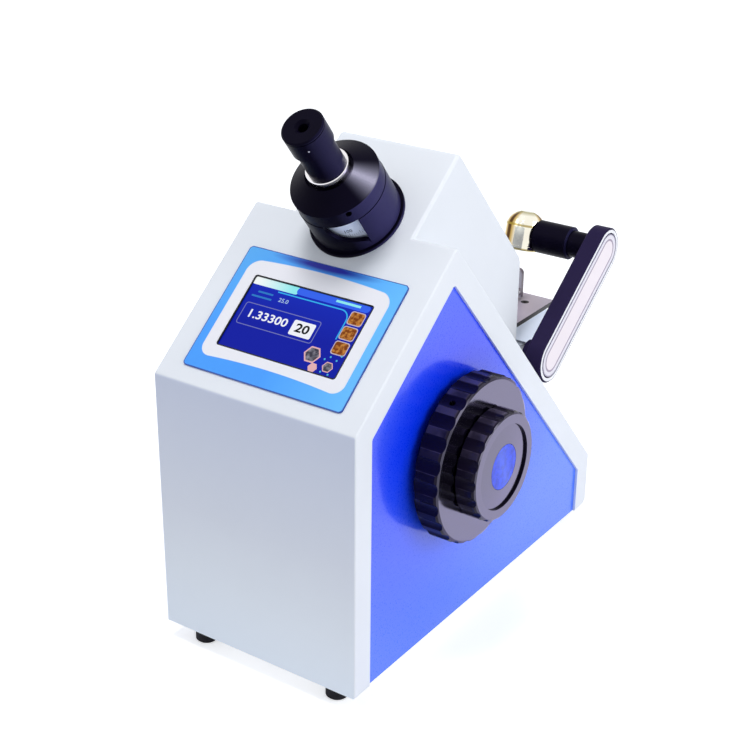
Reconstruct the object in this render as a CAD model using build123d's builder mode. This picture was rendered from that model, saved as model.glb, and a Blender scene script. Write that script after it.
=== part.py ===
"""Digital Abbe refractometer with a touch display, a swing-arm lamp and an open prism lid.

Millimetres. +X is the user's right, +Y points away from the user and +Z is up. The origin is
the centre of the footprint of the whole instrument, on the bench.
"""
import os
from math import atan2, cos, degrees, radians, sin, sqrt, tan

from build123d import *

os.makedirs("parts", exist_ok=True)

# ---------------------------------------------------------------- driving dimensions: housing
body_width = 165.0
body_depth = 328.0
front_height = 195.0
rear_height = 45.0
front_slope = 38.8
rear_slope = 48.2
shell_wall = 2.0
edge_round = 3.0
corner_round = 6.0
side_round = 1.4
tower_width = 98.0
tower_top = 214.8
tower_back_gap = 69.0
tower_top_round = 4.0
tower_corner_round = 11.0
tower_side_round = 2.5
border = 18.0
window_corner_round = 3.0
panel_lip = 7.0
panel_thick = 1.5
base_thick = 3.0
base_gap = 0.3
boss_size = 13.0
boss_height = 12.0
foot_height = 14.0
foot_radius = 8.2
foot_taper = 1.0
foot_inset_x = 24.5
foot_inset_y = 14.5
screw_radius = 2.0
screw_head_radius = 3.6
screw_head_height = 2.2
screw_key_radius = 1.6
screw_key_depth = 1.3
vent_pitch = 8.0
vent_length = 34.0
vent_width = 3.0
vent_count = 11

# ---------------------------------------------------------------- display
bezel_width = 130.0
bezel_height = 97.0
bezel_thick = 1.0
bezel_round = 3.0
display_along = 60.8
screen_width = 97.5
screen_height = 57.0
screen_round = 2.0
glass_margin = 4.0
glass_thick = 1.5
module_thick = 4.5
board_thick = 1.6
standoff_radius = 3.0
standoff_length = 6.0
module_margin = 6.0
standoff_margin = 3.9

# ---------------------------------------------------------------- sighting tube and compensator
sight_along = 151.0
flange_radius = 34.2
flange_thick = 2.0
sleeve_radius = 31.6
sleeve_wall = 3.4
sleeve_top = 30.0
window_turn = 29.0
window_reach = 12.2
window_edge = [(12.2, 4.6), (9.8, 8.4), (3.7, 11.6), (-2.1, 14.6), (-7.8, 19.2), (-12.2, 27.3)]
flange_chamfer = 0.5
cup_radius = 28.4
cup_wall = 1.4
cup_depth = 16.0
core_below = 32.0
core_top = 34.0
wheel_radius = 31.3
wheel_bottom = 30.4
wheel_shoulder = 41.7
wheel_top = 51.1
wheel_mouth = 17.1
wheel_wall = 3.0
wheel_web_bottom = 36.0
wheel_mouth_floor = 47.0
wheel_screw_height = 39.0
wheel_screw_turn = -44.0
drum_radius = 26.5
drum_wall = 2.0
tooth_module = 1.0
drum_teeth = 48
cell_teeth = 24
pinion_teeth = 12
tooth_width = 1.15
tooth_addendum = 0.8
tooth_root_share = 0.72
tooth_tip_share = 0.3
tooth_root_gap = 0.3
crown_plane = 1.0
crown_back = 3.2
crown_slot = 2.1
drum_ring_inner = 22.5
drum_ring_outer = 25.5
cell_ring_inner = 10.7
cell_ring_outer = 12.9
pinion_shaft_radius = 1.5
core_bore = 15.0
core_wall = 2.5
cup_web = 3.0
cell_top = 14.0
cell_wall = 1.5
prism_stack = 8.5
tube_radius = 13.5
tube_wall = 1.5
tube_bottom = 16.5
tube_top = 53.0
tube_rim = 1.6
lens_seat = 3.0
lock_ring_gap = 2.1
lock_ring_top = 55.5
lock_ring_chamfer = 0.5
eye_radius = 13.0
eye_wall = 2.0
eye_top = 86.0
cap_radius = 14.6
cap_bottom = 78.0
cap_top = 96.0
cap_mouth = 3.5
cap_recess = 2.0
cap_groove = 0.5
cap_groove_top = 2.0
cap_groove_slope = 0.2
eye_lens_bottom = 75.5
lens_cell_length = 8.0
lens_bulge = 2.5
dome_steps = 6
running_gap = 0.05
side_gap = 0.3

# ---------------------------------------------------------------- adjusting knobs and mirror
knob_y = 121.0
knob_below = 60.5
coarse_radius = 59.6
coarse_face_radius = 57.0
coarse_start = 84.2
coarse_end = 103.7
coarse_flutes = 24
flute_start = 118.0
rim_round = 2.4
knob_face = 4.5
coarse_flute_radius = 9.0
coarse_flute_depth = 1.9
coarse_back_recess = 12.0
coarse_rim = 6.0
fine_radius = 39.0
fine_face_radius = 37.0
fine_end = 120.1
fine_flutes = 18
fine_flute_radius = 8.0
fine_flute_depth = 1.6
fine_groove_radius = 30.6
fine_groove_width = 0.5
fine_groove_depth = 1.6
disc_radius = 16.0
disc_thick = 1.6
knob_gap = 0.6
coarse_shaft_radius = 9.0
fine_shaft_radius = 4.0
bush_radius = 13.0
bush_flange_radius = 20.0
bush_flange_thick = 4.0
set_screw_radius = 2.2
set_screw_length = 6.0
gear_module = 1.0
knob_gear_teeth = 24
sector_teeth = 168
sector_shown = 20
gear_face = 6.0
gear_start = 31.0
gear_tooth_width = 1.35
shoulder_width = 4.0
shoulder_step = 1.5
sector_hub = 8.0
mirror_shaft_radius = 4.0
mirror_width = 40.0
mirror_length = 28.0
mirror_thick = 4.0
mirror_back = 5.5
encoder_radius = 19.0
encoder_end = -54.0
encoder_wall = 2.0
frame_half = 40.0
frame_plate = 4.0
frame_front = 95.0
frame_step = 18.0
frame_shoulder = 90.0
frame_back_gap = 11.0

# ---------------------------------------------------------------- prism unit
block_half = 44.5
block_depth = 55.0
stage_half = 47.0
stage_depth = 60.0
stage_drop = 21.0
stage_thick = 3.5
block_round = 2.0
prism_well = 6.0
prism_from_hinge = 10.7
prism_face_half = 15.0
prism_face_depth = 14.0
prism_deep = 20.0
prism_chamfer = 4.0
light_drop = 16.0
light_radius = 8.0
stage_screw_x = 30.5
stage_screw_out = 43.0
stage_screw_pitch = 34.0
stage_screw_length = 12.0
stage_screw_radius = 1.5
stage_key_radius = 1.35
sunk_head_radius = 3.2
sunk_head_depth = 1.6
sunk_head_angle = 45.0
hinge_out = 42.0
hinge_rise = 7.3
hinge_radius = 2.6
hinge_pin_radius = 1.2
knuckle_inner = 8.0
knuckle_width = 5.0
lid_half = 26.0
lid_thick = 3.5
lid_back = 2.0
lid_gap = 2.0
lid_rise = 25.5
lid_round = 4.0
lid_prism_rise = 11.0
lid_wall = 0.9
lid_box_half = 15.5
lid_box_depth = 9.0
lid_window_half = 13.0
lid_window_height = 9.0
nozzle_out = 13.0
nozzle_drop = 28.0
nozzle_pitch = 26.0
nozzle_radius = 4.0
nozzle_bore = 2.4
nozzle_length = 20.0
nozzle_hex = 6.5
nozzle_hex_length = 6.0
nozzle_barb = 0.8
nozzle_barb_from = 10.0
nozzle_barb_length = 4.0
probe_drop = 24.0
probe_radius = 2.0
probe_nut_radius = 6.0
probe_nut_length = 8.0
probe_cap_radius = 4.0
probe_depth = 27.0

# ---------------------------------------------------------------- swing-arm lamp
arm_out = 8.0
arm_drop = 24.7
arm_angle = 37.0
arm_length = 103.2
arm_half_width = 18.6
arm_inner = 61.5
arm_outer = 75.3
arm_edge_round = 1.0
arm_pocket_margin = 1.3
arm_pocket_depth = 1.2
trim_width = 2.4
trim_gap = 0.1
inlay_margin = 5.0
hub_radius = 10.5
hub_length = 7.0
pivot_radius = 5.0
pivot_grip = 8.0
collar_radius = 7.6
collar_chamfer = 0.6
lamp_radius = 13.1
lamp_end = 44.3
neck_radius = 10.5
spigot_radius = 7.0
spigot_length = 7.0
tube_chamfer = 0.8
barrel_x = 0.7
barrel_radius = 15.6
tube_floor = 14.0
barrel_front = -13.0
barrel_back = 5.5
barrel_step = 0.9
barrel_rim = 3.5
barrel_dome = 12.5
barrel_dome_turns = (0, 14, 28, 42, 56, 70)
barrel_tilt = 75.0
barrel_floor = 1.0
lens_radius = 12.6
led_radius = 8.0
led_thick = 3.0

# ---------------------------------------------------------------- electrics
supply_width = 120.0
supply_depth = 58.0
supply_height = 36.0
supply_y = 16.0
supply_foot_inset = 6.0
board_length = 100.0
board_height = 78.0
board_y = 112.0
board_z = 34.0
board_standoff = 16.0
board_hole_inset = 5.0
socket_z = 23.0
inlet_x = -42.0
inlet_width = 30.0
inlet_height = 24.0
inlet_depth = 20.0
inlet_cavity_width = 24.4
inlet_cavity_height = 16.2
inlet_cavity_depth = 16.0
inlet_flange_half = 24.0
inlet_flange_thick = 2.0
pin_length = 12.0
switch_x = 0.0
inlet_screw_half = 20.0
pin_spread = 7.0
pin_drop = 3.5
pin_width = 2.0
pin_height = 4.0
switch_width = 13.0
switch_height = 19.0
switch_depth = 16.0
switch_flange = 1.5
rocker_width = 8.8
rocker_length = 13.6
rocker_sweep = 0.8
rocker_depth = 3.2
rocker_front = 4.6
rocker_dish = 1.6
rocker_back = 5.0
rocker_tilt = 8.0
rocker_pin_radius = 1.0
rocker_pin_length = 1.4
port_x = 42.0
port_width = 30.8
port_height = 12.5
port_shell_width = 17.0
port_shell_height = 8.4
port_shell_length = 6.0
port_screw_pitch = 25.0
port_depth = 12.0
port_margin = 2.0
port_plate = 1.0
port_shell_angle = 80.0
port_upper_pins = 5
port_lower_pins = 4
port_nut_radius = 2.8
pin_row = 2.8
pin_hole = 0.6

# ---------------------------------------------------------------- worked-out places
mid_x = (body_width / 2 - fine_end) / 2
knob_z = front_height - knob_below
tower_rear = body_depth - tower_back_gap
frame_rear = tower_rear - frame_back_gap
block_rear = tower_rear + block_depth
stage_rear = tower_rear + stage_depth
stage_top = front_height - stage_drop
light_z = stage_top - light_drop
stage_screw_y = tower_rear + stage_screw_out
hinge_y = tower_rear + hinge_out
hinge_z = stage_top + hinge_rise
prism_y = hinge_y - prism_from_hinge
lid_bottom = stage_top + lid_gap
lid_top = stage_top + lid_rise
lid_prism_bottom = stage_top + lid_prism_rise
nozzle_y = tower_rear + nozzle_out
nozzle_z = stage_top - nozzle_drop
probe_y = prism_y
probe_z = stage_top - probe_drop
arm_y = tower_rear + arm_out
arm_z = stage_top - arm_drop
arm_reach = arm_y + arm_length * cos(radians(arm_angle)) + arm_half_width
front_y = -arm_reach / 2
base_z = foot_height
half_width = body_width / 2
rise = tan(radians(front_slope))
fall = tan(radians(rear_slope))
ridge_y = (rear_height + body_depth * fall - front_height) / (rise + fall)
ridge_z = front_height + ridge_y * rise
tower_half = tower_width / 2
tower_y = tower_top * cos(radians(front_slope))
tower_z = front_height + tower_top * sin(radians(front_slope))
window_half = half_width - shell_wall
boss_x = window_half - panel_thick - side_gap - boss_size / 2
boss_front = shell_wall + boss_size / 2
boss_rear = body_depth - shell_wall - boss_size / 2
glass_width = screen_width + 2 * glass_margin
glass_height = screen_height + 2 * glass_margin
crown_top = crown_plane + tooth_addendum + tooth_root_gap + crown_back
pinion_pitch = pinion_teeth * tooth_module / 2
lower_plane = crown_plane - 2 * pinion_pitch
prism_seat = stage_top - prism_deep
knob_pitch = knob_gear_teeth * gear_module / 2
sector_pitch = sector_teeth * gear_module / 2


def level(height):
    """Horizontal plane at a height above the shell's lower edge, x right and y to the rear."""
    return Plane(origin=(mid_x, front_y, base_z + height))


def side(x):
    """Vertical plane at x from the middle of the body; sketch x runs back and sketch y up."""
    return Plane(origin=(mid_x + x, front_y, base_z), x_dir=(0, 1, 0), z_dir=(1, 0, 0))


def back(y):
    """Vertical plane facing the rear; sketch x runs to the user's left and sketch y up."""
    return Plane(origin=(mid_x, front_y + y, base_z), x_dir=(-1, 0, 0), z_dir=(0, 1, 0))


slope_up = Vector(0, cos(radians(front_slope)), sin(radians(front_slope)))
slope_out = Vector(0, -sin(radians(front_slope)), cos(radians(front_slope)))
sight_point = (
    mid_x,
    front_y + sight_along * cos(radians(front_slope)),
    base_z + front_height + sight_along * sin(radians(front_slope)),
)


def incline(height):
    """Plane parallel to the sloping front; sketch x runs right and sketch y up the slope."""
    return Plane(
        origin=Vector(mid_x, front_y, base_z + front_height) + slope_out * height,
        x_dir=(1, 0, 0),
        z_dir=slope_out,
    )


def sight(height):
    """Plane square to the sighting axis at a height above the sloping front."""
    return Plane(origin=Vector(*sight_point) + slope_out * height, x_dir=(1, 0, 0), z_dir=slope_out)


sight_axis = Axis(sight_point, slope_out)
# the mirror lies on the sighting axis, one gear centre distance away from the knobs' axis
base_y = sight_along * cos(radians(front_slope))
base_up = front_height + sight_along * sin(radians(front_slope))
along_axis = (base_up - knob_z) * slope_out.Z + (base_y - knob_y) * slope_out.Y
apart = (base_y - knob_y) ** 2 + (base_up - knob_z) ** 2 - (knob_pitch + sector_pitch) ** 2
mirror_below = along_axis + sqrt(along_axis**2 - apart)
mirror_y = base_y - slope_out.Y * mirror_below
mirror_z = base_up - slope_out.Z * mirror_below
mesh_angle = degrees(atan2(mirror_z - knob_z, mirror_y - knob_y))
light_in = atan2(light_z - mirror_z, tower_rear - mirror_y)
light_out = atan2(slope_out.Z, slope_out.Y)
mirror_turn = degrees((light_in + light_out) / 2)
sight_profile = Plane(origin=sight_point, x_dir=(1, 0, 0), z_dir=slope_up * -1)
knob_point = (mid_x, front_y + knob_y, base_z + knob_z)
knob_axis = Axis(knob_point, (1, 0, 0))
knob_profile = Plane(origin=knob_point, x_dir=(1, 0, 0), z_dir=(0, -1, 0))


def knob_plane(x):
    """Plane square to the knobs' axis, centred on it."""
    return Plane(origin=(mid_x + x, front_y + knob_y, base_z + knob_z), x_dir=(0, 1, 0), z_dir=(1, 0, 0))


def mirror_side(x):
    """Vertical plane on the mirror's axis; sketch y points the way the mirror faces."""
    return Plane(
        origin=(mid_x + x, front_y + mirror_y, base_z + mirror_z),
        x_dir=(0, sin(radians(mirror_turn)), -cos(radians(mirror_turn))),
        z_dir=(1, 0, 0),
    )


def pinion_plane(distance):
    """Plane square to the cross shaft under the drum; sketch x points out along the sighting axis."""
    return Plane(
        origin=Vector(*sight_point) + slope_out * (crown_plane - pinion_pitch) + Vector(distance, 0, 0),
        x_dir=slope_out,
        z_dir=(1, 0, 0),
    )


arm_up = Vector(0, cos(radians(arm_angle)), sin(radians(arm_angle)))


def arm_plane(x):
    """Plane square to the arm's pivot, centred on it; sketch x runs along the arm."""
    return Plane(
        origin=(mid_x + x, front_y + arm_y, base_z + arm_z), x_dir=arm_up, z_dir=(1, 0, 0)
    )


lamp_point = Vector(mid_x, front_y + arm_y, base_z + arm_z) + arm_up * arm_length


def lamp_plane(x):
    """Plane square to the lamp tube, centred on it."""
    return Plane(origin=lamp_point + Vector(x, 0, 0), x_dir=arm_up, z_dir=(1, 0, 0))


barrel_point = lamp_point + Vector(barrel_x, 0, 0)
barrel_up = Vector(0, cos(radians(barrel_tilt)), sin(radians(barrel_tilt)))
barrel_side = Vector(0, -sin(radians(barrel_tilt)), cos(radians(barrel_tilt)))
barrel_profile = Plane(origin=barrel_point, x_dir=(1, 0, 0), z_dir=barrel_side)
barrel_axis = Axis(barrel_point, barrel_up)


def barrel_plane(along):
    """Plane square to the lamp barrel, facing away from its lens."""
    return Plane(origin=barrel_point + barrel_up * along, x_dir=(1, 0, 0), z_dir=barrel_up)


def body_outline():
    """Closed side view of the main housing with its rounded corners."""
    with BuildSketch() as outline:
        with BuildLine():
            Polyline(
                (0, 0),
                (0, front_height),
                (ridge_y, ridge_z),
                (body_depth, rear_height),
                (body_depth, 0),
                close=True,
            )
        make_face()
        top_corners = outline.vertices().group_by(Axis.Y)[1:]
        fillet([corner for group in top_corners for corner in group], edge_round)
        rear_foot = outline.vertices().group_by(Axis.Y)[0].sort_by(Axis.X)[-1]
        fillet(rear_foot, corner_round)
    return outline.sketch


def rear_line(y):
    """Height of the rear slope at a depth y."""
    return rear_height + (body_depth - y) * fall


tower_rear_z = tower_z - (tower_rear - tower_y) * fall


def tower_outline(start):
    """Closed side view of the tower, from a depth inside the main housing."""
    with BuildSketch() as outline:
        with BuildLine():
            Polyline(
                (start, front_height + start * rise),
                (tower_y, tower_z),
                (tower_rear, tower_rear_z),
                (tower_rear, rear_line(tower_rear) - boss_size),
                close=True,
            )
        make_face()
        fillet(outline.vertices().sort_by(Axis.Y)[-1], tower_top_round)
        rear_corner = outline.vertices().filter_by(lambda v: abs(v.X - tower_rear) < 0.1)
        fillet(rear_corner.sort_by(Axis.Y)[-1], tower_corner_round)
    return outline.sketch


def opening_outline(inset, bottom):
    """Side view of a panel or its opening, set in from the housing's edges and open below."""
    front_shift = inset / cos(radians(front_slope))
    rear_shift = inset / cos(radians(rear_slope))
    top_y = ridge_y + (front_shift - rear_shift) / (rise + fall)
    with BuildSketch() as outline:
        with BuildLine():
            Polyline(
                (inset, bottom),
                (inset, front_height + inset * rise - front_shift),
                (top_y, front_height + top_y * rise - front_shift),
                (body_depth - inset, rear_line(body_depth - inset) - rear_shift),
                (body_depth - inset, bottom),
                close=True,
            )
        make_face()
        corners = outline.vertices().filter_by(lambda corner: corner.Y > bottom + 1)
        fillet(corners, window_corner_round)
    return outline.sketch


# ---------------------------------------------------------------- main shell
with BuildPart() as tower_form:
    with BuildSketch(side(-tower_half)):
        add(tower_outline(ridge_y / 2))
    extrude(amount=tower_width)
    tower_sides = tower_form.faces().filter_by(Axis.X)
    fillet(tower_sides.edges(), tower_side_round)

with BuildPart() as main_shell:
    with BuildSketch(side(-half_width)):
        add(body_outline())
    extrude(amount=body_width)
    fillet(main_shell.faces().filter_by(Axis.X).edges(), side_round)
    add(tower_form.part)
    # hollow inside, in one piece with the inside of the tower
    with BuildSketch(side(-window_half)):
        add(offset(body_outline(), amount=-shell_wall))
        with BuildLine():
            Polyline(
                (shell_wall, -base_thick),
                (shell_wall, front_height / 2),
                (body_depth - shell_wall, rear_height / 2),
                (body_depth - shell_wall, -base_thick),
                close=True,
            )
        make_face()
    extrude(amount=2 * window_half, mode=Mode.SUBTRACT)
    with BuildSketch(side(shell_wall - tower_half)):
        add(offset(tower_outline(ridge_y / 2), amount=-shell_wall))
    extrude(amount=tower_width - 2 * shell_wall, mode=Mode.SUBTRACT)
    # side openings leave a flange along the edges and run out below
    with BuildSketch(side(-half_width)):
        add(opening_outline(border, -base_thick))
    extrude(amount=body_width, mode=Mode.SUBTRACT)
    # corner bosses for the base screws
    with BuildSketch(level(base_thick)):
        with Locations(*[(x, y) for x in (-boss_x, boss_x) for y in (boss_front, boss_rear)]):
            Rectangle(boss_size, boss_size)
    extrude(amount=boss_height)
    with BuildSketch(level(base_thick)):
        with Locations(*[(x, y) for x in (-boss_x, boss_x) for y in (boss_front, boss_rear)]):
            Circle(screw_radius + running_gap)
    extrude(amount=boss_height - shell_wall, mode=Mode.SUBTRACT)
    # openings: display, sighting tube, light path out of the prism block, rear sockets
    with BuildSketch(incline(-2 * shell_wall)):
        with Locations((0, display_along)):
            Rectangle(glass_width + 2 * side_gap, glass_height + 2 * side_gap)
        with Locations((0, sight_along)):
            Circle(cup_radius + running_gap)
    extrude(amount=4 * shell_wall, mode=Mode.SUBTRACT)
    with BuildSketch(back(tower_rear - 2 * shell_wall)):
        with Locations((0, light_z)):
            Circle(light_radius)
    extrude(amount=4 * shell_wall, mode=Mode.SUBTRACT)
    with BuildSketch(back(body_depth - 2 * shell_wall)):
        with Locations((-inlet_x, socket_z)):
            Rectangle(inlet_width + 2 * side_gap, inlet_height + 2 * side_gap)
        with Locations((-switch_x, socket_z)):
            Rectangle(switch_width + 2 * side_gap, switch_height + 2 * side_gap)
        with Locations((-port_x, socket_z)):
            Rectangle(port_width, port_height)
    extrude(amount=4 * shell_wall, mode=Mode.SUBTRACT)
main_shell.part.label = "main_shell"
export_step(main_shell.part, "parts/main_shell.step")

# ---------------------------------------------------------------- side panels, behind the openings
with BuildPart() as side_panel_right:
    with BuildSketch(side(window_half - panel_thick)):
        add(opening_outline(border - panel_lip, base_gap))
    extrude(amount=panel_thick)
    with BuildSketch(knob_plane(window_half - panel_thick)):
        Circle(bush_radius + side_gap)
    extrude(amount=panel_thick, mode=Mode.SUBTRACT)
side_panel_right.part.label = "side_panel_right"
export_step(side_panel_right.part, "parts/side_panel_right.step")

with BuildPart() as side_panel_left:
    with BuildSketch(side(-window_half)):
        add(opening_outline(border - panel_lip, base_gap))
    extrude(amount=panel_thick)
side_panel_left.part.label = "side_panel_left"
export_step(side_panel_left.part, "parts/side_panel_left.step")

# ---------------------------------------------------------------- base plate, screws and feet
with BuildPart() as base_plate:
    with BuildSketch(level(0)):
        with Locations((0, body_depth / 2)):
            Rectangle(
                2 * (window_half - panel_thick - side_gap), body_depth - 2 * (shell_wall + side_gap)
            )
    extrude(amount=base_thick)
    fillet(base_plate.edges().filter_by(Axis.Z), window_corner_round)
    with BuildSketch(level(0)):
        with Locations(*[(x, y) for x in (-boss_x, boss_x) for y in (boss_front, boss_rear)]):
            Circle(screw_radius + running_gap)
    extrude(amount=base_thick, mode=Mode.SUBTRACT)
    # rows of ventilation slots under the power supply
    with BuildSketch(level(0)):
        with Locations((0, supply_y + supply_depth / 2)):
            with GridLocations(vent_pitch, 2 * vent_length, vent_count, 1):
                SlotOverall(vent_length, vent_width, rotation=90)
    extrude(amount=base_thick, mode=Mode.SUBTRACT)
base_plate.part.label = "base_plate"
export_step(base_plate.part, "parts/base_plate.step")

with BuildPart() as case_screws:
    with BuildSketch(level(-screw_head_height)):
        with Locations(*[(x, y) for x in (-boss_x, boss_x) for y in (boss_front, boss_rear)]):
            Circle(screw_head_radius)
    extrude(amount=screw_head_height)
    with BuildSketch(level(0)):
        with Locations(*[(x, y) for x in (-boss_x, boss_x) for y in (boss_front, boss_rear)]):
            Circle(screw_radius)
    extrude(amount=base_thick + boss_height - 2 * shell_wall)
    with BuildSketch(level(-screw_head_height)):
        with Locations(*[(x, y) for x in (-boss_x, boss_x) for y in (boss_front, boss_rear)]):
            RegularPolygon(screw_key_radius, 6)
    extrude(amount=screw_key_depth, mode=Mode.SUBTRACT)
case_screws.part.label = "case_screws"
export_step(case_screws.part, "parts/case_screws.step")

with BuildPart() as rubber_feet:
    foot_places = [
        (x, y)
        for x in (foot_inset_x - half_width, half_width - foot_inset_x)
        for y in (foot_inset_y, body_depth - foot_inset_y)
    ]
    with BuildSketch(level(0)):
        with Locations(*foot_places):
            Circle(foot_radius)
    extrude(amount=-foot_height)
    foot_bottoms = rubber_feet.faces().group_by(Axis.Z)[0].edges()
    chamfer(foot_bottoms, foot_taper)
    with BuildSketch(level(-foot_height)):
        with Locations(*foot_places):
            Circle(screw_head_radius)
    extrude(amount=foot_height / 3, mode=Mode.SUBTRACT)
rubber_feet.part.label = "rubber_feet"
export_step(rubber_feet.part, "parts/rubber_feet.step")

# ---------------------------------------------------------------- display
with BuildPart() as display_bezel:
    with BuildSketch(incline(0)):
        with Locations((0, display_along)):
            RectangleRounded(bezel_width, bezel_height, bezel_round)
            RectangleRounded(screen_width, screen_height, screen_round, mode=Mode.SUBTRACT)
    extrude(amount=bezel_thick)
display_bezel.part.label = "display_bezel"
export_step(display_bezel.part, "parts/display_bezel.step")

with BuildPart() as touch_screen:
    with BuildSketch(incline(-glass_thick)):
        with Locations((0, display_along)):
            Rectangle(glass_width, glass_height)
    extrude(amount=glass_thick)
touch_screen.part.label = "touch_screen"
export_step(touch_screen.part, "parts/touch_screen.step")

with BuildPart() as lcd_module:
    with BuildSketch(incline(-glass_thick)):
        with Locations((0, display_along)):
            Rectangle(glass_width, glass_height)
    extrude(amount=-module_thick)
    with BuildSketch(incline(-glass_thick - module_thick)):
        with Locations((0, display_along)):
            RectangleRounded(
                glass_width + 2 * module_margin, glass_height + 2 * module_margin, standoff_radius
            )
    extrude(amount=-board_thick)
    # spacers carry the display on the inside of the sloping front
    with BuildSketch(incline(-glass_thick - module_thick)):
        with Locations((0, display_along)):
            with GridLocations(
                glass_width + 2 * standoff_margin, glass_height + 2 * standoff_margin, 2, 2
            ):
                Circle(standoff_radius)
    extrude(amount=glass_thick + module_thick - shell_wall)
    with BuildSketch(incline(-shell_wall)):
        with Locations((0, display_along)):
            Rectangle(glass_width + 2 * side_gap, glass_height + 2 * side_gap)
            Rectangle(glass_width, glass_height, mode=Mode.SUBTRACT)
    extrude(amount=-module_thick, mode=Mode.SUBTRACT)
lcd_module.part.label = "lcd_module"
export_step(lcd_module.part, "parts/lcd_module.step")

# ---------------------------------------------------------------- inner frame and electronics
with BuildPart() as optical_frame:
    for plate_x in (-frame_half - frame_plate, frame_half):
        with BuildSketch(side(plate_x)):
            with BuildLine():
                Polyline(
                    (frame_front, base_thick),
                    (frame_rear, base_thick),
                    (frame_rear, knob_z - coarse_shaft_radius),
                    (frame_rear - 2 * frame_step, mirror_z + frame_step),
                    (mirror_y - 2 * frame_step, ridge_z - 3 * frame_step),
                    (knob_y - frame_step, knob_z + frame_shoulder),
                    (frame_front, knob_z + frame_step),
                    close=True,
                )
            make_face()
        extrude(amount=frame_plate)
    with BuildSketch(level(base_thick)):
        with Locations((0, (frame_front + frame_rear) / 2)):
            Rectangle(2 * frame_half, frame_rear - frame_front)
    extrude(amount=frame_plate)
    # cross bar near the top keeps the two plates apart
    with BuildSketch(side(-frame_half)):
        with Locations((mirror_y - frame_step, base_thick + 2 * frame_step)):
            Rectangle(frame_plate, 3 * frame_step)
    extrude(amount=2 * frame_half)
    with BuildSketch(side(-frame_half - frame_plate)):
        with Locations((board_y + board_length / 2, board_z + board_height / 2)):
            with GridLocations(
                board_length - 2 * board_hole_inset, board_height - 2 * board_hole_inset, 2, 2
            ):
                Circle(standoff_radius)
    extrude(amount=-board_standoff)
    with BuildSketch(knob_plane(-frame_half - frame_plate)):
        Circle(coarse_shaft_radius + running_gap)
    extrude(amount=frame_plate, mode=Mode.SUBTRACT)
    with BuildSketch(knob_plane(frame_half)):
        Circle(bush_radius + running_gap)
    extrude(amount=frame_plate, mode=Mode.SUBTRACT)
    with BuildSketch(side(-frame_half - frame_plate)):
        with Locations((mirror_y, mirror_z)):
            Circle(mirror_shaft_radius + running_gap)
    extrude(amount=2 * (frame_half + frame_plate), mode=Mode.SUBTRACT)
optical_frame.part.label = "optical_frame"
export_step(optical_frame.part, "parts/optical_frame.step")

with BuildPart() as control_board:
    with BuildSketch(side(-frame_half - frame_plate - board_standoff)):
        with Locations((board_y + board_length / 2, board_z + board_height / 2)):
            Rectangle(board_length, board_height)
    extrude(amount=-board_thick)
control_board.part.label = "control_board"
export_step(control_board.part, "parts/control_board.step")

with BuildPart() as power_supply:
    with BuildSketch(level(base_thick + standoff_length)):
        with Locations((0, supply_y + supply_depth / 2)):
            Rectangle(supply_width, supply_depth)
    extrude(amount=supply_height)
    with BuildSketch(level(base_thick)):
        with Locations((0, supply_y + supply_depth / 2)):
            with GridLocations(
                supply_width - 2 * supply_foot_inset, supply_depth - 2 * supply_foot_inset, 2, 2
            ):
                Circle(standoff_radius)
    extrude(amount=standoff_length)
power_supply.part.label = "power_supply"
export_step(power_supply.part, "parts/power_supply.step")

# ---------------------------------------------------------------- rear sockets and switch
with BuildPart() as power_inlet:
    with BuildSketch(back(body_depth)):
        with Locations((-inlet_x, socket_z)):
            RectangleRounded(2 * inlet_flange_half, inlet_height + 2 * inlet_flange_thick, corner_round)
    extrude(amount=inlet_flange_thick)
    with BuildSketch(back(body_depth)):
        with Locations((-inlet_x, socket_z)):
            Rectangle(inlet_width, inlet_height)
    extrude(amount=-inlet_depth)
    with BuildSketch(back(body_depth + inlet_flange_thick)):
        with Locations((-inlet_x, socket_z)):
            RectangleRounded(inlet_cavity_width, inlet_cavity_height, edge_round)
        with Locations(
            *[(-inlet_x + offset_x, socket_z) for offset_x in (-inlet_screw_half, inlet_screw_half)]
        ):
            Circle(set_screw_radius)
    extrude(amount=-inlet_cavity_depth, mode=Mode.SUBTRACT)
    with BuildSketch(back(body_depth + inlet_flange_thick - inlet_cavity_depth)):
        with Locations(
            (-inlet_x - pin_spread, socket_z - pin_drop),
            (-inlet_x + pin_spread, socket_z - pin_drop),
            (-inlet_x, socket_z + pin_drop),
        ):
            Rectangle(pin_width, pin_height)
    extrude(amount=pin_length)
power_inlet.part.label = "power_inlet"
export_step(power_inlet.part, "parts/power_inlet.step")

with BuildPart() as switch_housing:
    with BuildSketch(back(body_depth)):
        with Locations((-switch_x, socket_z)):
            RectangleRounded(
                switch_width + 2 * switch_flange, switch_height + 2 * switch_flange, switch_flange
            )
    extrude(amount=switch_flange)
    with BuildSketch(back(body_depth)):
        with Locations((-switch_x, socket_z)):
            Rectangle(switch_width, switch_height)
    extrude(amount=-switch_depth)
    with BuildSketch(back(body_depth + switch_flange)):
        with Locations((-switch_x, socket_z)):
            Rectangle(rocker_width + 2 * side_gap, rocker_length + 2 * rocker_sweep)
    extrude(amount=-switch_depth, mode=Mode.SUBTRACT)
    with BuildSketch(side(switch_x - rocker_width / 2 - rocker_pin_length)):
        with Locations((body_depth - rocker_depth, socket_z)):
            Circle(rocker_pin_radius + running_gap)
    extrude(amount=rocker_width + 2 * rocker_pin_length, mode=Mode.SUBTRACT)
switch_housing.part.label = "switch_housing"
export_step(switch_housing.part, "parts/switch_housing.step")

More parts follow.
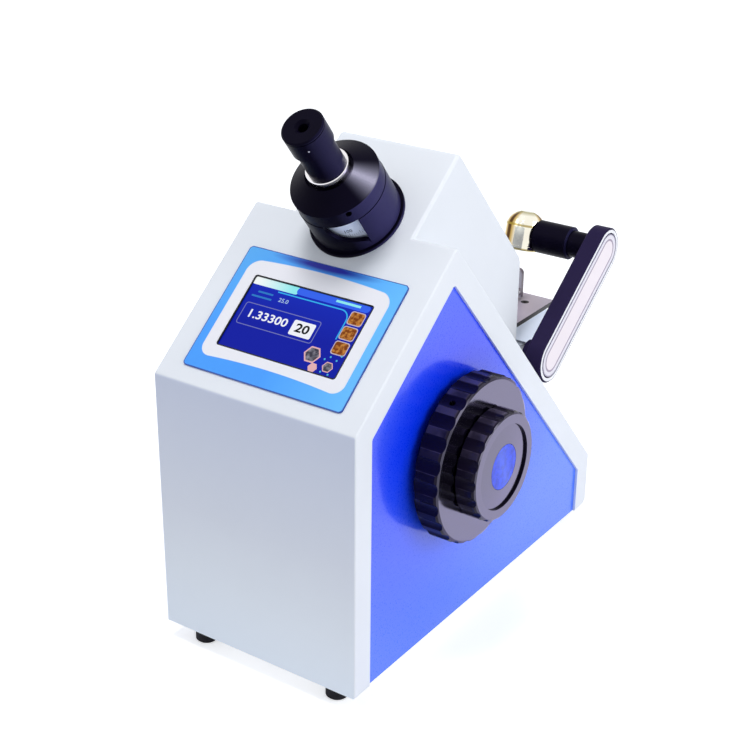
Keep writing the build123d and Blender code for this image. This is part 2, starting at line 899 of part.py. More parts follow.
with BuildPart() as switch_rocker:
    with BuildSketch(
        Plane(
            origin=(
                mid_x + switch_x - rocker_width / 2,
                front_y + body_depth - rocker_depth,
                base_z + socket_z,
            ),
            x_dir=(0, cos(radians(rocker_tilt)), sin(radians(rocker_tilt))),
            z_dir=(1, 0, 0),
        )
    ):
        with BuildLine():
            Polyline(
                (-rocker_back, -rocker_length / 4),
                (0, -rocker_length / 2),
                (rocker_front, -rocker_length / 2),
                (rocker_front - rocker_dish, 0),
                (rocker_front, rocker_length / 2),
                (0, rocker_length / 2),
                (-rocker_back, rocker_length / 4),
                close=True,
            )
        make_face()
    extrude(amount=rocker_width)
    with BuildSketch(side(switch_x - rocker_width / 2 - rocker_pin_length + side_gap)):
        with Locations((body_depth - rocker_depth, socket_z)):
            Circle(rocker_pin_radius)
    extrude(amount=rocker_width + 2 * (rocker_pin_length - side_gap))
switch_rocker.part.label = "switch_rocker"
export_step(switch_rocker.part, "parts/switch_rocker.step")

with BuildPart() as serial_port:
    with BuildSketch(back(body_depth)):
        with Locations((-port_x, socket_z)):
            RectangleRounded(port_width + 2 * port_margin, port_height + 2 * port_margin, port_margin)
    extrude(amount=port_plate)
    with BuildSketch(back(body_depth)):
        with Locations((-port_x, socket_z)):
            Rectangle(port_width - 2 * side_gap, port_height - 2 * side_gap)
    extrude(amount=-port_depth)
    # the shell of the plug face is wider above than below
    with BuildSketch(back(body_depth)):
        with Locations((-port_x, socket_z)):
            Trapezoid(port_shell_width, port_shell_height, port_shell_angle, rotation=180)
    extrude(amount=port_shell_length)
    with BuildSketch(back(body_depth)):
        with Locations((-port_x, socket_z)):
            with GridLocations(port_screw_pitch, 1, 2, 1):
                RegularPolygon(port_nut_radius, 6)
    extrude(amount=port_shell_length - port_plate)
    with BuildSketch(back(body_depth + port_shell_length)):
        with Locations((-port_x, socket_z)):
            with GridLocations(port_screw_pitch, 1, 2, 1):
                Circle(port_nut_radius / 2)
        with Locations((-port_x, socket_z + pin_row / 2)):
            with GridLocations(pin_row, 1, port_upper_pins, 1):
                Circle(pin_hole)
        with Locations((-port_x, socket_z - pin_row / 2)):
            with GridLocations(pin_row, 1, port_lower_pins, 1):
                Circle(pin_hole)
    extrude(amount=-port_shell_length, mode=Mode.SUBTRACT)
serial_port.part.label = "serial_port"
export_step(serial_port.part, "parts/serial_port.step")

# ---------------------------------------------------------------- compensator: fixed parts
with BuildPart() as compensator_sleeve:
    with BuildSketch(sight_profile):
        with BuildLine():
            Polyline(
                (cup_radius - cup_wall, 0),
                (flange_radius, 0),
                (flange_radius, flange_thick - flange_chamfer),
                (flange_radius - flange_chamfer, flange_thick),
                (sleeve_radius, flange_thick),
                (sleeve_radius, sleeve_top),
                (sleeve_radius - sleeve_wall, sleeve_top),
                (sleeve_radius - sleeve_wall, flange_thick),
                (cup_radius - cup_wall, flange_thick),
                close=True,
            )
        make_face()
    revolve(axis=sight_axis)
    # window over the graduated drum, cut low at the right and rising to the left
    with BuildSketch(
        Plane(
            origin=sight_point,
            x_dir=Vector(1, 0, 0) * cos(radians(window_turn)) + slope_up * sin(radians(window_turn)),
            z_dir=Vector(1, 0, 0) * sin(radians(window_turn)) - slope_up * cos(radians(window_turn)),
        )
    ):
        with BuildLine():
            rising_edge = Spline(*window_edge)
            Polyline(
                rising_edge @ 1,
                (-window_reach, sleeve_top + 1),
                (window_reach, sleeve_top + 1),
                rising_edge @ 0,
            )
        make_face()
    extrude(amount=sleeve_radius + 1, mode=Mode.SUBTRACT)
compensator_sleeve.part.label = "compensator_sleeve"
export_step(compensator_sleeve.part, "parts/compensator_sleeve.step")

with BuildPart() as compensator_cup:
    with BuildSketch(sight_profile):
        with BuildLine():
            Polyline(
                (cup_radius - cup_wall, 0),
                (cup_radius, 0),
                (cup_radius, -cup_depth),
                (core_bore + core_wall, -cup_depth),
                (core_bore + core_wall, -core_below),
                (core_bore - cell_wall, -core_below),
                (core_bore - cell_wall, cup_web - core_below),
                (core_bore, cup_web - core_below),
                (core_bore, core_top),
                (core_bore + core_wall, core_top),
                (core_bore + core_wall, cup_web - cup_depth),
                (cup_radius - cup_wall, cup_web - cup_depth),
                close=True,
            )
        make_face()
    revolve(axis=sight_axis)
    # cross bearing for the shaft of the compensator pinion
    with BuildSketch(pinion_plane(0)):
        Circle(pinion_shaft_radius + running_gap)
    extrude(amount=cup_radius + 1, mode=Mode.SUBTRACT)
compensator_cup.part.label = "compensator_cup"
export_step(compensator_cup.part, "parts/compensator_cup.step")


def gear_outline(teeth, pitch_radius, tooth_wide, first_angle, shown):
    """Toothed outline with straight-sided teeth, closed round the centre or as a full wheel."""
    step = 360 / teeth
    outer = pitch_radius + tooth_addendum
    root = pitch_radius - tooth_addendum - tooth_root_gap
    points = []
    for number in range(shown):
        centre = first_angle + number * step
        half_root = degrees(tooth_wide * tooth_root_share / root)
        half_tip = degrees(tooth_wide * tooth_tip_share / outer)
        for radius, angle in (
            (root, centre - half_root),
            (outer, centre - half_tip),
            (outer, centre + half_tip),
            (root, centre + half_root),
        ):
            points.append((radius * cos(radians(angle)), radius * sin(radians(angle))))
    return points


def dome(radius, foot, bulge):
    """Points of a lens surface, from its edge to the axis."""
    turns = [radians(90 * step / dome_steps) for step in range(dome_steps)]
    return [(radius * cos(turn), foot + bulge * sin(turn)) for turn in turns] + [(0, foot + bulge)]


with BuildPart() as compensator_pinion:
    for start, end in ((cell_ring_inner, cell_ring_outer), (drum_ring_inner, drum_ring_outer)):
        with BuildSketch(pinion_plane(start)):
            with BuildLine():
                Polyline(
                    *gear_outline(pinion_teeth, pinion_pitch, tooth_width, 0, pinion_teeth),
                    close=True,
                )
            make_face()
        extrude(amount=end - start)
    with BuildSketch(pinion_plane(cell_ring_inner)):
        Circle(pinion_shaft_radius)
    extrude(amount=cup_radius - cell_ring_inner)
compensator_pinion.part.label = "compensator_pinion"
export_step(compensator_pinion.part, "parts/compensator_pinion.step")

# ---------------------------------------------------------------- compensator: turning parts
with BuildPart() as scale_drum:
    with BuildSketch(sight_profile):
        with BuildLine():
            Polyline(
                (drum_radius, crown_plane + tooth_addendum),
                (drum_radius, wheel_web_bottom),
                (drum_radius - drum_wall, wheel_web_bottom),
                (drum_radius - drum_wall, crown_top),
                (drum_ring_inner - side_gap, crown_top),
                (drum_ring_inner - side_gap, crown_plane - tooth_addendum),
                (drum_ring_outer + side_gap, crown_plane - tooth_addendum),
                (drum_ring_outer + side_gap, crown_plane + tooth_addendum),
                close=True,
            )
        make_face()
    revolve(axis=sight_axis)
    with BuildSketch(sight(crown_plane - tooth_addendum)):
        with PolarLocations((drum_ring_inner + drum_ring_outer) / 2, drum_teeth):
            Rectangle(drum_ring_outer - drum_ring_inner + 2, crown_slot)
    extrude(amount=2 * tooth_addendum + tooth_root_gap, mode=Mode.SUBTRACT)
scale_drum.part.label = "scale_drum"
export_step(scale_drum.part, "parts/scale_drum.step")

with BuildPart() as handwheel:
    with BuildSketch(sight_profile):
        with BuildLine():
            Polyline(
                (tube_radius + running_gap, wheel_web_bottom),
                (tube_radius + running_gap, wheel_mouth_floor),
                (wheel_mouth, wheel_mouth_floor),
                (wheel_mouth, wheel_top),
                (wheel_radius, wheel_shoulder),
                (wheel_radius, wheel_bottom),
                (wheel_radius - wheel_wall, wheel_bottom),
                (wheel_radius - wheel_wall, wheel_web_bottom),
                close=True,
            )
        make_face()
    revolve(axis=sight_axis)
    with BuildSketch(
        Plane(
            origin=Vector(*sight_point) + slope_out * wheel_screw_height,
            x_dir=slope_out,
            z_dir=Vector(1, 0, 0) * cos(radians(wheel_screw_turn))
            + slope_up * sin(radians(wheel_screw_turn)),
        ).offset(wheel_radius - set_screw_length)
    ):
        Circle(set_screw_radius)
    extrude(amount=2 * set_screw_length, mode=Mode.SUBTRACT)
handwheel.part.label = "handwheel"
export_step(handwheel.part, "parts/handwheel.step")

with BuildPart() as upper_prism_cell:
    with BuildSketch(sight_profile):
        with BuildLine():
            Polyline(
                (cell_ring_inner - side_gap, crown_plane - tooth_addendum),
                (core_bore - running_gap, crown_plane - tooth_addendum),
                (core_bore - running_gap, cell_top),
                (core_bore - cell_wall, cell_top),
                (core_bore - cell_wall, crown_top),
                (cell_ring_inner - side_gap, crown_top),
                close=True,
            )
        make_face()
    revolve(axis=sight_axis)
    with BuildSketch(sight(crown_plane - tooth_addendum)):
        with PolarLocations((cell_ring_inner + core_bore) / 2, cell_teeth):
            Rectangle(core_bore - cell_ring_inner + 2, crown_slot)
    extrude(amount=2 * tooth_addendum + tooth_root_gap, mode=Mode.SUBTRACT)
upper_prism_cell.part.label = "upper_prism_cell"
export_step(upper_prism_cell.part, "parts/upper_prism_cell.step")

with BuildPart() as upper_prism:
    with BuildSketch(sight(crown_top)):
        Circle(core_bore - cell_wall - running_gap)
    extrude(amount=prism_stack)
upper_prism.part.label = "upper_prism"
export_step(upper_prism.part, "parts/upper_prism.step")

with BuildPart() as lower_prism_cell:
    with BuildSketch(sight_profile):
        with BuildLine():
            Polyline(
                (cell_ring_inner - side_gap, lower_plane + tooth_addendum),
                (core_bore - running_gap, lower_plane + tooth_addendum),
                (core_bore - running_gap, lower_plane + crown_plane - cell_top),
                (core_bore - cell_wall, lower_plane + crown_plane - cell_top),
                (core_bore - cell_wall, lower_plane + crown_plane - crown_top),
                (cell_ring_inner - side_gap, lower_plane + crown_plane - crown_top),
                close=True,
            )
        make_face()
    revolve(axis=sight_axis)
    with BuildSketch(sight(lower_plane + tooth_addendum)):
        with PolarLocations((cell_ring_inner + core_bore) / 2, cell_teeth):
            Rectangle(core_bore - cell_ring_inner + 2, crown_slot)
    extrude(amount=-(2 * tooth_addendum + tooth_root_gap), mode=Mode.SUBTRACT)
lower_prism_cell.part.label = "lower_prism_cell"
export_step(lower_prism_cell.part, "parts/lower_prism_cell.step")

with BuildPart() as lower_prism:
    with BuildSketch(sight(lower_plane + crown_plane - crown_top)):
        Circle(core_bore - cell_wall - running_gap)
    extrude(amount=-prism_stack)
lower_prism.part.label = "lower_prism"
export_step(lower_prism.part, "parts/lower_prism.step")

# ---------------------------------------------------------------- sighting tube and eyepiece
with BuildPart() as telescope_tube:
    with BuildSketch(sight_profile):
        with BuildLine():
            Polyline(
                (tube_radius - tube_wall, tube_bottom),
                (core_bore - running_gap, tube_bottom),
                (core_bore - running_gap, tube_bottom + cup_web),
                (tube_radius, tube_bottom + cup_web),
                (tube_radius, core_top),
                (core_bore + core_wall, core_top),
                (core_bore + core_wall, core_top + tube_rim),
                (tube_radius, core_top + tube_rim),
                (tube_radius, tube_top),
                (tube_radius - tube_wall, tube_top),
                (tube_radius - tube_wall, tube_top - lens_seat),
                (tube_radius - 2 * tube_wall, tube_top - lens_seat),
                (tube_radius - 2 * tube_wall, tube_bottom + lens_seat),
                (tube_radius - tube_wall, tube_bottom + lens_seat),
                close=True,
            )
        make_face()
    revolve(axis=sight_axis)
telescope_tube.part.label = "telescope_tube"
export_step(telescope_tube.part, "parts/telescope_tube.step")

with BuildPart() as lock_ring:
    with BuildSketch(sight_profile):
        with BuildLine():
            Polyline(
                (tube_radius + running_gap, wheel_mouth_floor + side_gap),
                (wheel_mouth - lock_ring_gap, wheel_mouth_floor + side_gap),
                (wheel_mouth - lock_ring_gap, lock_ring_top),
                (eye_radius + running_gap, lock_ring_top),
                (eye_radius + running_gap, tube_top),
                (tube_radius + running_gap, tube_top),
                close=True,
            )
        make_face()
    revolve(axis=sight_axis)
    lock_rim = lock_ring.faces().filter_by(lambda face: face.area > 1).sort_by(Axis(sight_point, slope_out))
    chamfer(lock_rim[-1].outer_wire().edges(), lock_ring_chamfer)
lock_ring.part.label = "lock_ring"
export_step(lock_ring.part, "parts/lock_ring.step")

with BuildPart() as objective_lens:
    with BuildSketch(sight_profile):
        with BuildLine():
            Polyline(
                (0, tube_bottom + lens_seat),
                (tube_radius - tube_wall - running_gap, tube_bottom + lens_seat),
                *dome(tube_radius - tube_wall - running_gap, tube_bottom + lens_seat / 2, -lens_seat / 2),
                close=True,
            )
        make_face()
    revolve(axis=sight_axis)
objective_lens.part.label = "objective_lens"
export_step(objective_lens.part, "parts/objective_lens.step")

with BuildPart() as reticle:
    with BuildSketch(sight(tube_top - lens_seat)):
        Circle(tube_radius - tube_wall - running_gap)
    extrude(amount=lens_seat / 2)
reticle.part.label = "reticle"
export_step(reticle.part, "parts/reticle.step")

with BuildPart() as eyepiece_tube:
    with BuildSketch(sight(tube_top)):
        Circle(eye_radius)
        Circle(eye_radius - eye_wall, mode=Mode.SUBTRACT)
    extrude(amount=eye_top - tube_top)
eyepiece_tube.part.label = "eyepiece_tube"
export_step(eyepiece_tube.part, "parts/eyepiece_tube.step")

with BuildPart() as eye_lens:
    with BuildSketch(sight_profile):
        with BuildLine():
            Polyline(
                (0, eye_lens_bottom),
                (eye_radius - eye_wall - running_gap, eye_lens_bottom),
                *dome(
                    eye_radius - eye_wall - running_gap,
                    eye_lens_bottom + lens_cell_length - lens_bulge,
                    lens_bulge,
                ),
                close=True,
            )
        make_face()
    revolve(axis=sight_axis)
eye_lens.part.label = "eye_lens"
export_step(eye_lens.part, "parts/eye_lens.step")

with BuildPart() as diopter_ring:
    with BuildSketch(sight_profile):
        with BuildLine():
            Polyline(
                (eye_radius + running_gap, cap_bottom),
                (cap_radius - cap_groove, cap_bottom),
                (cap_radius, cap_bottom + cap_groove),
                (cap_radius, cap_top - cap_groove_top - cap_groove),
                (cap_radius - cap_groove, cap_top - cap_groove_top - cap_groove + cap_groove_slope),
                (cap_radius - cap_groove, cap_top - cap_groove_top),
                (cap_radius, cap_top - cap_groove_top + cap_groove_slope),
                (cap_radius, cap_top - 2 * cap_groove),
                (cap_radius - 2 * cap_groove, cap_top),
                (cap_mouth + cap_recess, cap_top),
                (cap_mouth, cap_top - cap_recess),
                (cap_mouth, eye_top + 1),
                (eye_radius + running_gap, eye_top + 1),
                close=True,
            )
        make_face()
    revolve(axis=sight_axis)
diopter_ring.part.label = "diopter_ring"
export_step(diopter_ring.part, "parts/diopter_ring.step")

# ---------------------------------------------------------------- adjusting knobs
with BuildPart() as coarse_knob:
    with BuildSketch(knob_profile):
        with BuildLine():
            Polyline(
                (coarse_start, coarse_shaft_radius + running_gap),
                (coarse_start, bush_radius),
                (coarse_start + coarse_back_recess, bush_radius),
                (coarse_start + coarse_back_recess, coarse_radius - coarse_rim),
                (coarse_start, coarse_radius - coarse_rim),
                (coarse_start, coarse_radius - rim_round),
                (coarse_start + rim_round, coarse_radius),
                (coarse_end - rim_round, coarse_radius),
                (coarse_end - rim_round / 3, coarse_radius - rim_round / 3),
                (coarse_end, coarse_face_radius),
                (coarse_end, fine_shaft_radius + side_gap),
                (coarse_end - knob_face, fine_shaft_radius + side_gap),
                (coarse_end - knob_face, coarse_shaft_radius + running_gap),
                close=True,
            )
        make_face()
    revolve(axis=knob_axis)
    with BuildSketch(knob_plane(coarse_start)):
        with PolarLocations(
            coarse_radius + coarse_flute_radius - coarse_flute_depth, coarse_flutes, start_angle=flute_start
        ):
            Circle(coarse_flute_radius)
    extrude(amount=coarse_end - coarse_start, mode=Mode.SUBTRACT)
    with BuildSketch(
        Plane(
            origin=Vector(*knob_point) + Vector((coarse_start + coarse_end) / 2, 0, 0),
            x_dir=(1, 0, 0),
            z_dir=(0, cos(radians(flute_start)), sin(radians(flute_start))),
        ).offset(coarse_radius - set_screw_length)
    ):
        Circle(set_screw_radius)
    extrude(amount=2 * set_screw_length, mode=Mode.SUBTRACT)
coarse_knob.part.label = "coarse_knob"
export_step(coarse_knob.part, "parts/coarse_knob.step")

with BuildPart() as fine_knob:
    with BuildSketch(knob_profile):
        with BuildLine():
            Polyline(
                (coarse_end + knob_gap, fine_shaft_radius + running_gap),
                (coarse_end + knob_gap, fine_radius - rim_round / 2),
                (coarse_end + knob_gap + rim_round / 2, fine_radius),
                (fine_end - rim_round, fine_radius),
                (fine_end - rim_round / 3, fine_radius - rim_round / 3),
                (fine_end, fine_face_radius),
                (fine_end, fine_groove_radius),
                (fine_end - fine_groove_depth, fine_groove_radius),
                (fine_end - fine_groove_width, disc_radius + side_gap),
                (fine_end - disc_thick - fine_groove_width, disc_radius + side_gap),
                (fine_end - disc_thick - fine_groove_width, 0),
                (fine_end - disc_thick - knob_face, 0),
                (fine_end - disc_thick - knob_face, fine_shaft_radius + running_gap),
                close=True,
            )
        make_face()
    revolve(axis=knob_axis)
    with BuildSketch(knob_plane(coarse_end)):
        with PolarLocations(
            fine_radius + fine_flute_radius - fine_flute_depth, fine_flutes, start_angle=flute_start
        ):
            Circle(fine_flute_radius)
    extrude(amount=fine_end - coarse_end, mode=Mode.SUBTRACT)
fine_knob.part.label = "fine_knob"
export_step(fine_knob.part, "parts/fine_knob.step")

with BuildPart() as fine_knob_cap:
    with BuildSketch(knob_plane(fine_end - disc_thick - fine_groove_width)):
        Circle(disc_radius)
    extrude(amount=disc_thick)
fine_knob_cap.part.label = "fine_knob_cap"
export_step(fine_knob_cap.part, "parts/fine_knob_cap.step")

with BuildPart() as knob_bush:
    with BuildSketch(knob_profile):
        with BuildLine():
            Polyline(
                (frame_half, coarse_shaft_radius + running_gap),
                (frame_half, bush_radius),
                (frame_half + frame_plate, bush_radius),
                (frame_half + frame_plate, bush_flange_radius),
                (frame_half + frame_plate + bush_flange_thick, bush_flange_radius),
                (frame_half + frame_plate + bush_flange_thick, bush_radius),
                (half_width - side_gap, bush_radius),
                (half_width - side_gap, coarse_shaft_radius + running_gap),
                close=True,
            )
        make_face()
    revolve(axis=knob_axis)
knob_bush.part.label = "knob_bush"
export_step(knob_bush.part, "parts/knob_bush.step")

with BuildPart() as coarse_shaft:
    with BuildSketch(knob_profile):
        with BuildLine():
            Polyline(
                (encoder_end, 0),
                (encoder_end, coarse_shaft_radius),
                (gear_start - shoulder_width, coarse_shaft_radius),
                (gear_start - shoulder_width, coarse_shaft_radius + shoulder_step),
                (gear_start, coarse_shaft_radius + shoulder_step),
                (gear_start, coarse_shaft_radius),
                (coarse_end - knob_face, coarse_shaft_radius),
                (coarse_end - knob_face, fine_shaft_radius + running_gap),
                (0, fine_shaft_radius + running_gap),
                (0, 0),
                close=True,
            )
        make_face()
    revolve(axis=knob_axis)
coarse_shaft.part.label = "coarse_shaft"
export_step(coarse_shaft.part, "parts/coarse_shaft.step")

with BuildPart() as fine_shaft:
    with BuildSketch(knob_plane(side_gap)):
        Circle(fine_shaft_radius)
    extrude(amount=fine_end - disc_thick - knob_face - side_gap)
fine_shaft.part.label = "fine_shaft"
export_step(fine_shaft.part, "parts/fine_shaft.step")

with BuildPart() as angle_encoder:
    with BuildSketch(knob_profile):
        with BuildLine():
            Polyline(
                (-frame_half - frame_plate, coarse_shaft_radius + side_gap),
                (-frame_half - frame_plate, encoder_radius),
                (encoder_end - encoder_wall, encoder_radius),
                (encoder_end - encoder_wall, 0),
                (encoder_end - side_gap, 0),
                (encoder_end - side_gap, coarse_shaft_radius + side_gap),
                close=True,
            )
        make_face()
    revolve(axis=knob_axis)
angle_encoder.part.label = "angle_encoder"
export_step(angle_encoder.part, "parts/angle_encoder.step")

# ---------------------------------------------------------------- gears and scanning mirror
with BuildPart() as drive_pinion:
    with BuildSketch(knob_plane(gear_start)):
        with BuildLine():
            Polyline(
                *gear_outline(knob_gear_teeth, knob_pitch, gear_tooth_width, mesh_angle, knob_gear_teeth),
                close=True,
            )
        make_face()
        Circle(coarse_shaft_radius + running_gap, mode=Mode.SUBTRACT)
    extrude(amount=gear_face)
drive_pinion.part.label = "drive_pinion"
export_step(drive_pinion.part, "parts/drive_pinion.step")

with BuildPart() as sector_gear:
    # the gap between two teeth faces the pinion at rest
    sector_step = 360 / sector_teeth
    first_tooth = mesh_angle + 180 - (sector_shown - 1) / 2 * sector_step
    with BuildSketch(
        Plane(
            origin=(mid_x + gear_start, front_y + mirror_y, base_z + mirror_z),
            x_dir=(0, 1, 0),
            z_dir=(1, 0, 0),
        )
    ):
        with BuildLine():
            Polyline(
                (0, 0),
                *gear_outline(sector_teeth, sector_pitch, gear_tooth_width, first_tooth, sector_shown),
                close=True,
            )
        make_face()
        Circle(sector_hub)
        Circle(mirror_shaft_radius + running_gap, mode=Mode.SUBTRACT)
    extrude(amount=gear_face)
sector_gear.part.label = "sector_gear"
export_step(sector_gear.part, "parts/sector_gear.step")

with BuildPart() as mirror_holder:
    with BuildSketch(side(-frame_half - frame_plate)):
        with Locations((mirror_y, mirror_z)):
            Circle(mirror_shaft_radius)
    extrude(amount=2 * (frame_half + frame_plate))
    with BuildSketch(side(gear_start - shoulder_width)):
        with Locations((mirror_y, mirror_z)):
            Circle(mirror_shaft_radius + 2 * shoulder_step)
    extrude(amount=shoulder_width)
    with BuildSketch(mirror_side(-mirror_width / 2)):
        Rectangle(mirror_length, 2 * mirror_back)
    extrude(amount=mirror_width)
mirror_holder.part.label = "mirror_holder"
export_step(mirror_holder.part, "parts/mirror_holder.step")

with BuildPart() as scan_mirror:
    with BuildSketch(mirror_side(-mirror_width / 2)):
        with Locations((0, mirror_back + mirror_thick / 2)):
            Rectangle(mirror_length, mirror_thick)
    extrude(amount=mirror_width)
scan_mirror.part.label = "scan_mirror"
export_step(scan_mirror.part, "parts/scan_mirror.step")

# ---------------------------------------------------------------- prism unit
with BuildPart() as prism_block:
    with BuildSketch(side(-block_half)):
        with BuildLine():
            Polyline(
                (tower_rear, rear_line(tower_rear)),
                (tower_rear, stage_top - stage_thick),
                (block_rear, stage_top - stage_thick),
                (block_rear, rear_line(block_rear)),
                close=True,
            )
        make_face()
    extrude(amount=2 * block_half)
    upright = prism_block.edges().filter_by(Axis.Z).group_by(Axis.Y)[-1]
    fillet(upright, block_round)
    # pocket for the measuring prism, with a well and a sloping bore for the light below it
    with BuildSketch(level(prism_seat)):
        with Locations((0, prism_y)):
            Rectangle(2 * (prism_face_half + side_gap), prism_face_depth + 2 * side_gap)
    extrude(amount=prism_deep, mode=Mode.SUBTRACT)
    with BuildSketch(level(prism_seat)):
        with Locations((0, prism_y)):
            Circle(prism_well)
    extrude(amount=-prism_well * 2, mode=Mode.SUBTRACT)
    with BuildSketch(
        Plane(
            origin=(mid_x, front_y + tower_rear, base_z + light_z),
            x_dir=(1, 0, 0),
            z_dir=(0, tower_rear - mirror_y, light_z - mirror_z),
        ).offset(-light_radius)
    ):
        Circle(light_radius - 1)
    extrude(amount=prism_y - tower_rear + light_radius, mode=Mode.SUBTRACT)
    # bores for the arm pivot, the hose nozzles, the probe and the stage screws
    with BuildSketch(side(block_half)):
        with Locations((arm_y, arm_z)):
            Circle(pivot_radius + running_gap)
    extrude(amount=-pivot_grip, mode=Mode.SUBTRACT)
    with BuildSketch(side(-block_half)):
        with Locations((nozzle_y, nozzle_z), (nozzle_y, nozzle_z - nozzle_pitch)):
            Circle(nozzle_radius + running_gap)
    extrude(amount=nozzle_hex_length, mode=Mode.SUBTRACT)
    with BuildSketch(side(-block_half)):
        with Locations((probe_y, probe_z)):
            Circle(probe_radius + running_gap)
    extrude(amount=probe_depth, mode=Mode.SUBTRACT)
    with BuildSketch(level(stage_top)):
        with Locations((0, stage_screw_y - stage_screw_pitch / 2)):
            with GridLocations(2 * stage_screw_x, stage_screw_pitch, 2, 2):
                Circle(set_screw_radius + running_gap)
    extrude(amount=-stage_screw_length, mode=Mode.SUBTRACT)
prism_block.part.label = "prism_block"
export_step(prism_block.part, "parts/prism_block.step")

with BuildPart() as stage_plate:
    with BuildSketch(level(stage_top - stage_thick)):
        with Locations((0, (tower_rear + side_gap + stage_rear) / 2)):
            Rectangle(2 * stage_half, stage_rear - tower_rear - side_gap)
    extrude(amount=stage_thick)
    fillet(stage_plate.edges().filter_by(Axis.Z), 2)
    # two knuckles for the lid stand on the plate
    for knuckle_x in (-knuckle_inner - knuckle_width, knuckle_inner):
        with BuildSketch(side(knuckle_x)):
            with Locations((hinge_y, hinge_z)):
                Circle(hinge_radius)
            with Locations((hinge_y, (hinge_z + stage_top) / 2)):
                Rectangle(2 * hinge_radius, hinge_z - stage_top)
        extrude(amount=knuckle_width)
    with BuildSketch(level(stage_top - stage_thick)):
        with Locations((0, prism_y)):
            Rectangle(2 * (prism_face_half + side_gap), prism_face_depth + 2 * side_gap)
        with Locations((0, stage_screw_y - stage_screw_pitch / 2)):
            with GridLocations(2 * stage_screw_x, stage_screw_pitch, 2, 2):
                Circle(stage_screw_radius + running_gap)
    extrude(amount=stage_thick, mode=Mode.SUBTRACT)
    with BuildSketch(level(stage_top)):
        with Locations((0, stage_screw_y - stage_screw_pitch / 2)):
            with GridLocations(2 * stage_screw_x, stage_screw_pitch, 2, 2):
                Circle(sunk_head_radius + running_gap)
    extrude(amount=-sunk_head_depth, taper=sunk_head_angle, mode=Mode.SUBTRACT)
    with BuildSketch(side(-stage_half)):
        with Locations((hinge_y, hinge_z)):
            Circle(hinge_pin_radius + running_gap)
    extrude(amount=2 * stage_half, mode=Mode.SUBTRACT)
stage_plate.part.label = "stage_plate"
export_step(stage_plate.part, "parts/stage_plate.step")

with BuildPart() as stage_screws:
    with BuildSketch(level(stage_top)):
        with Locations((0, stage_screw_y - stage_screw_pitch / 2)):
            with GridLocations(2 * stage_screw_x, stage_screw_pitch, 2, 2):
                Circle(sunk_head_radius)
    extrude(amount=-sunk_head_depth, taper=sunk_head_angle)
    with BuildSketch(level(stage_top)):
        with Locations((0, stage_screw_y - stage_screw_pitch / 2)):
            with GridLocations(2 * stage_screw_x, stage_screw_pitch, 2, 2):
                Circle(stage_screw_radius)
    extrude(amount=1 - stage_screw_length)
    with BuildSketch(level(stage_top)):
        with Locations((0, stage_screw_y - stage_screw_pitch / 2)):
            with GridLocations(2 * stage_screw_x, stage_screw_pitch, 2, 2):
                RegularPolygon(stage_key_radius, 6)
    extrude(amount=-sunk_head_depth, mode=Mode.SUBTRACT)
stage_screws.part.label = "stage_screws"
export_step(stage_screws.part, "parts/stage_screws.step")

with BuildPart() as measuring_prism:
    with BuildSketch(level(prism_seat)):
        with Locations((0, prism_y)):
            Rectangle(2 * prism_face_half, prism_face_depth)
    extrude(amount=prism_deep)
    lower_edges = measuring_prism.faces().sort_by(Axis.Z)[0].edges().filter_by(Axis.Y)
    chamfer(lower_edges, prism_chamfer)
measuring_prism.part.label = "measuring_prism"
export_step(measuring_prism.part, "parts/measuring_prism.step")

with BuildPart() as prism_lid:
    with BuildSketch(back(hinge_y + lid_back)):
        with Locations((0, (lid_bottom + lid_top) / 2)):
            Rectangle(2 * lid_half, lid_top - lid_bottom)
    extrude(amount=lid_thick)
    top_corners = prism_lid.edges().filter_by(Axis.Y).group_by(Axis.Z)[-1]
    fillet(top_corners, lid_round)
    with BuildSketch(side(-lid_half)):
        with Locations((hinge_y, hinge_z)):
            Circle(hinge_radius)
        with Locations((hinge_y + lid_back / 2, hinge_z)):
            Rectangle(lid_back, 2 * hinge_radius)
    extrude(amount=2 * lid_half)
    # housing of the upper prism, in front of the plate
    with BuildSketch(back(hinge_y + lid_back)):
        with Locations((0, (lid_prism_bottom + lid_prism_bottom + prism_face_depth) / 2)):
            Rectangle(2 * lid_box_half, prism_face_depth + 2 * lid_wall)
    extrude(amount=-lid_box_depth)
    with BuildSketch(back(hinge_y + lid_back)):
        with Locations((0, (lid_prism_bottom + lid_prism_bottom + prism_face_depth) / 2)):
            Rectangle(
                2 * (lid_box_half - lid_wall), prism_face_depth
            )
    extrude(amount=-lid_box_depth, mode=Mode.SUBTRACT)
    with BuildSketch(back(hinge_y + lid_back)):
        with Locations((0, (lid_prism_bottom + lid_prism_bottom + prism_face_depth) / 2)):
            Rectangle(2 * lid_window_half, lid_window_height)
    extrude(amount=lid_thick, mode=Mode.SUBTRACT)
    # room for the knuckles of the stage plate
    for knuckle_x in (-knuckle_inner - knuckle_width - side_gap, knuckle_inner - side_gap):
        with BuildSketch(side(knuckle_x)):
            with Locations((hinge_y + lid_back, (lid_bottom + hinge_z + hinge_radius + side_gap) / 2)):
                Rectangle(4 * lid_thick, hinge_z + hinge_radius + side_gap - lid_bottom)
        extrude(amount=knuckle_width + 2 * side_gap, mode=Mode.SUBTRACT)
    with BuildSketch(side(-lid_half)):
        with Locations((hinge_y, hinge_z)):
            Circle(hinge_pin_radius + running_gap)
    extrude(amount=2 * lid_half, mode=Mode.SUBTRACT)
prism_lid.part.label = "prism_lid"
export_step(prism_lid.part, "parts/prism_lid.step")

with BuildPart() as lid_prism:
    with BuildSketch(back(hinge_y + lid_back)):
        with Locations((0, (lid_prism_bottom + lid_prism_bottom + prism_face_depth) / 2)):
            Rectangle(2 * (lid_box_half - lid_wall - running_gap), prism_face_depth - 2 * running_gap)
    extrude(amount=-lid_box_depth)
lid_prism.part.label = "lid_prism"
export_step(lid_prism.part, "parts/lid_prism.step")

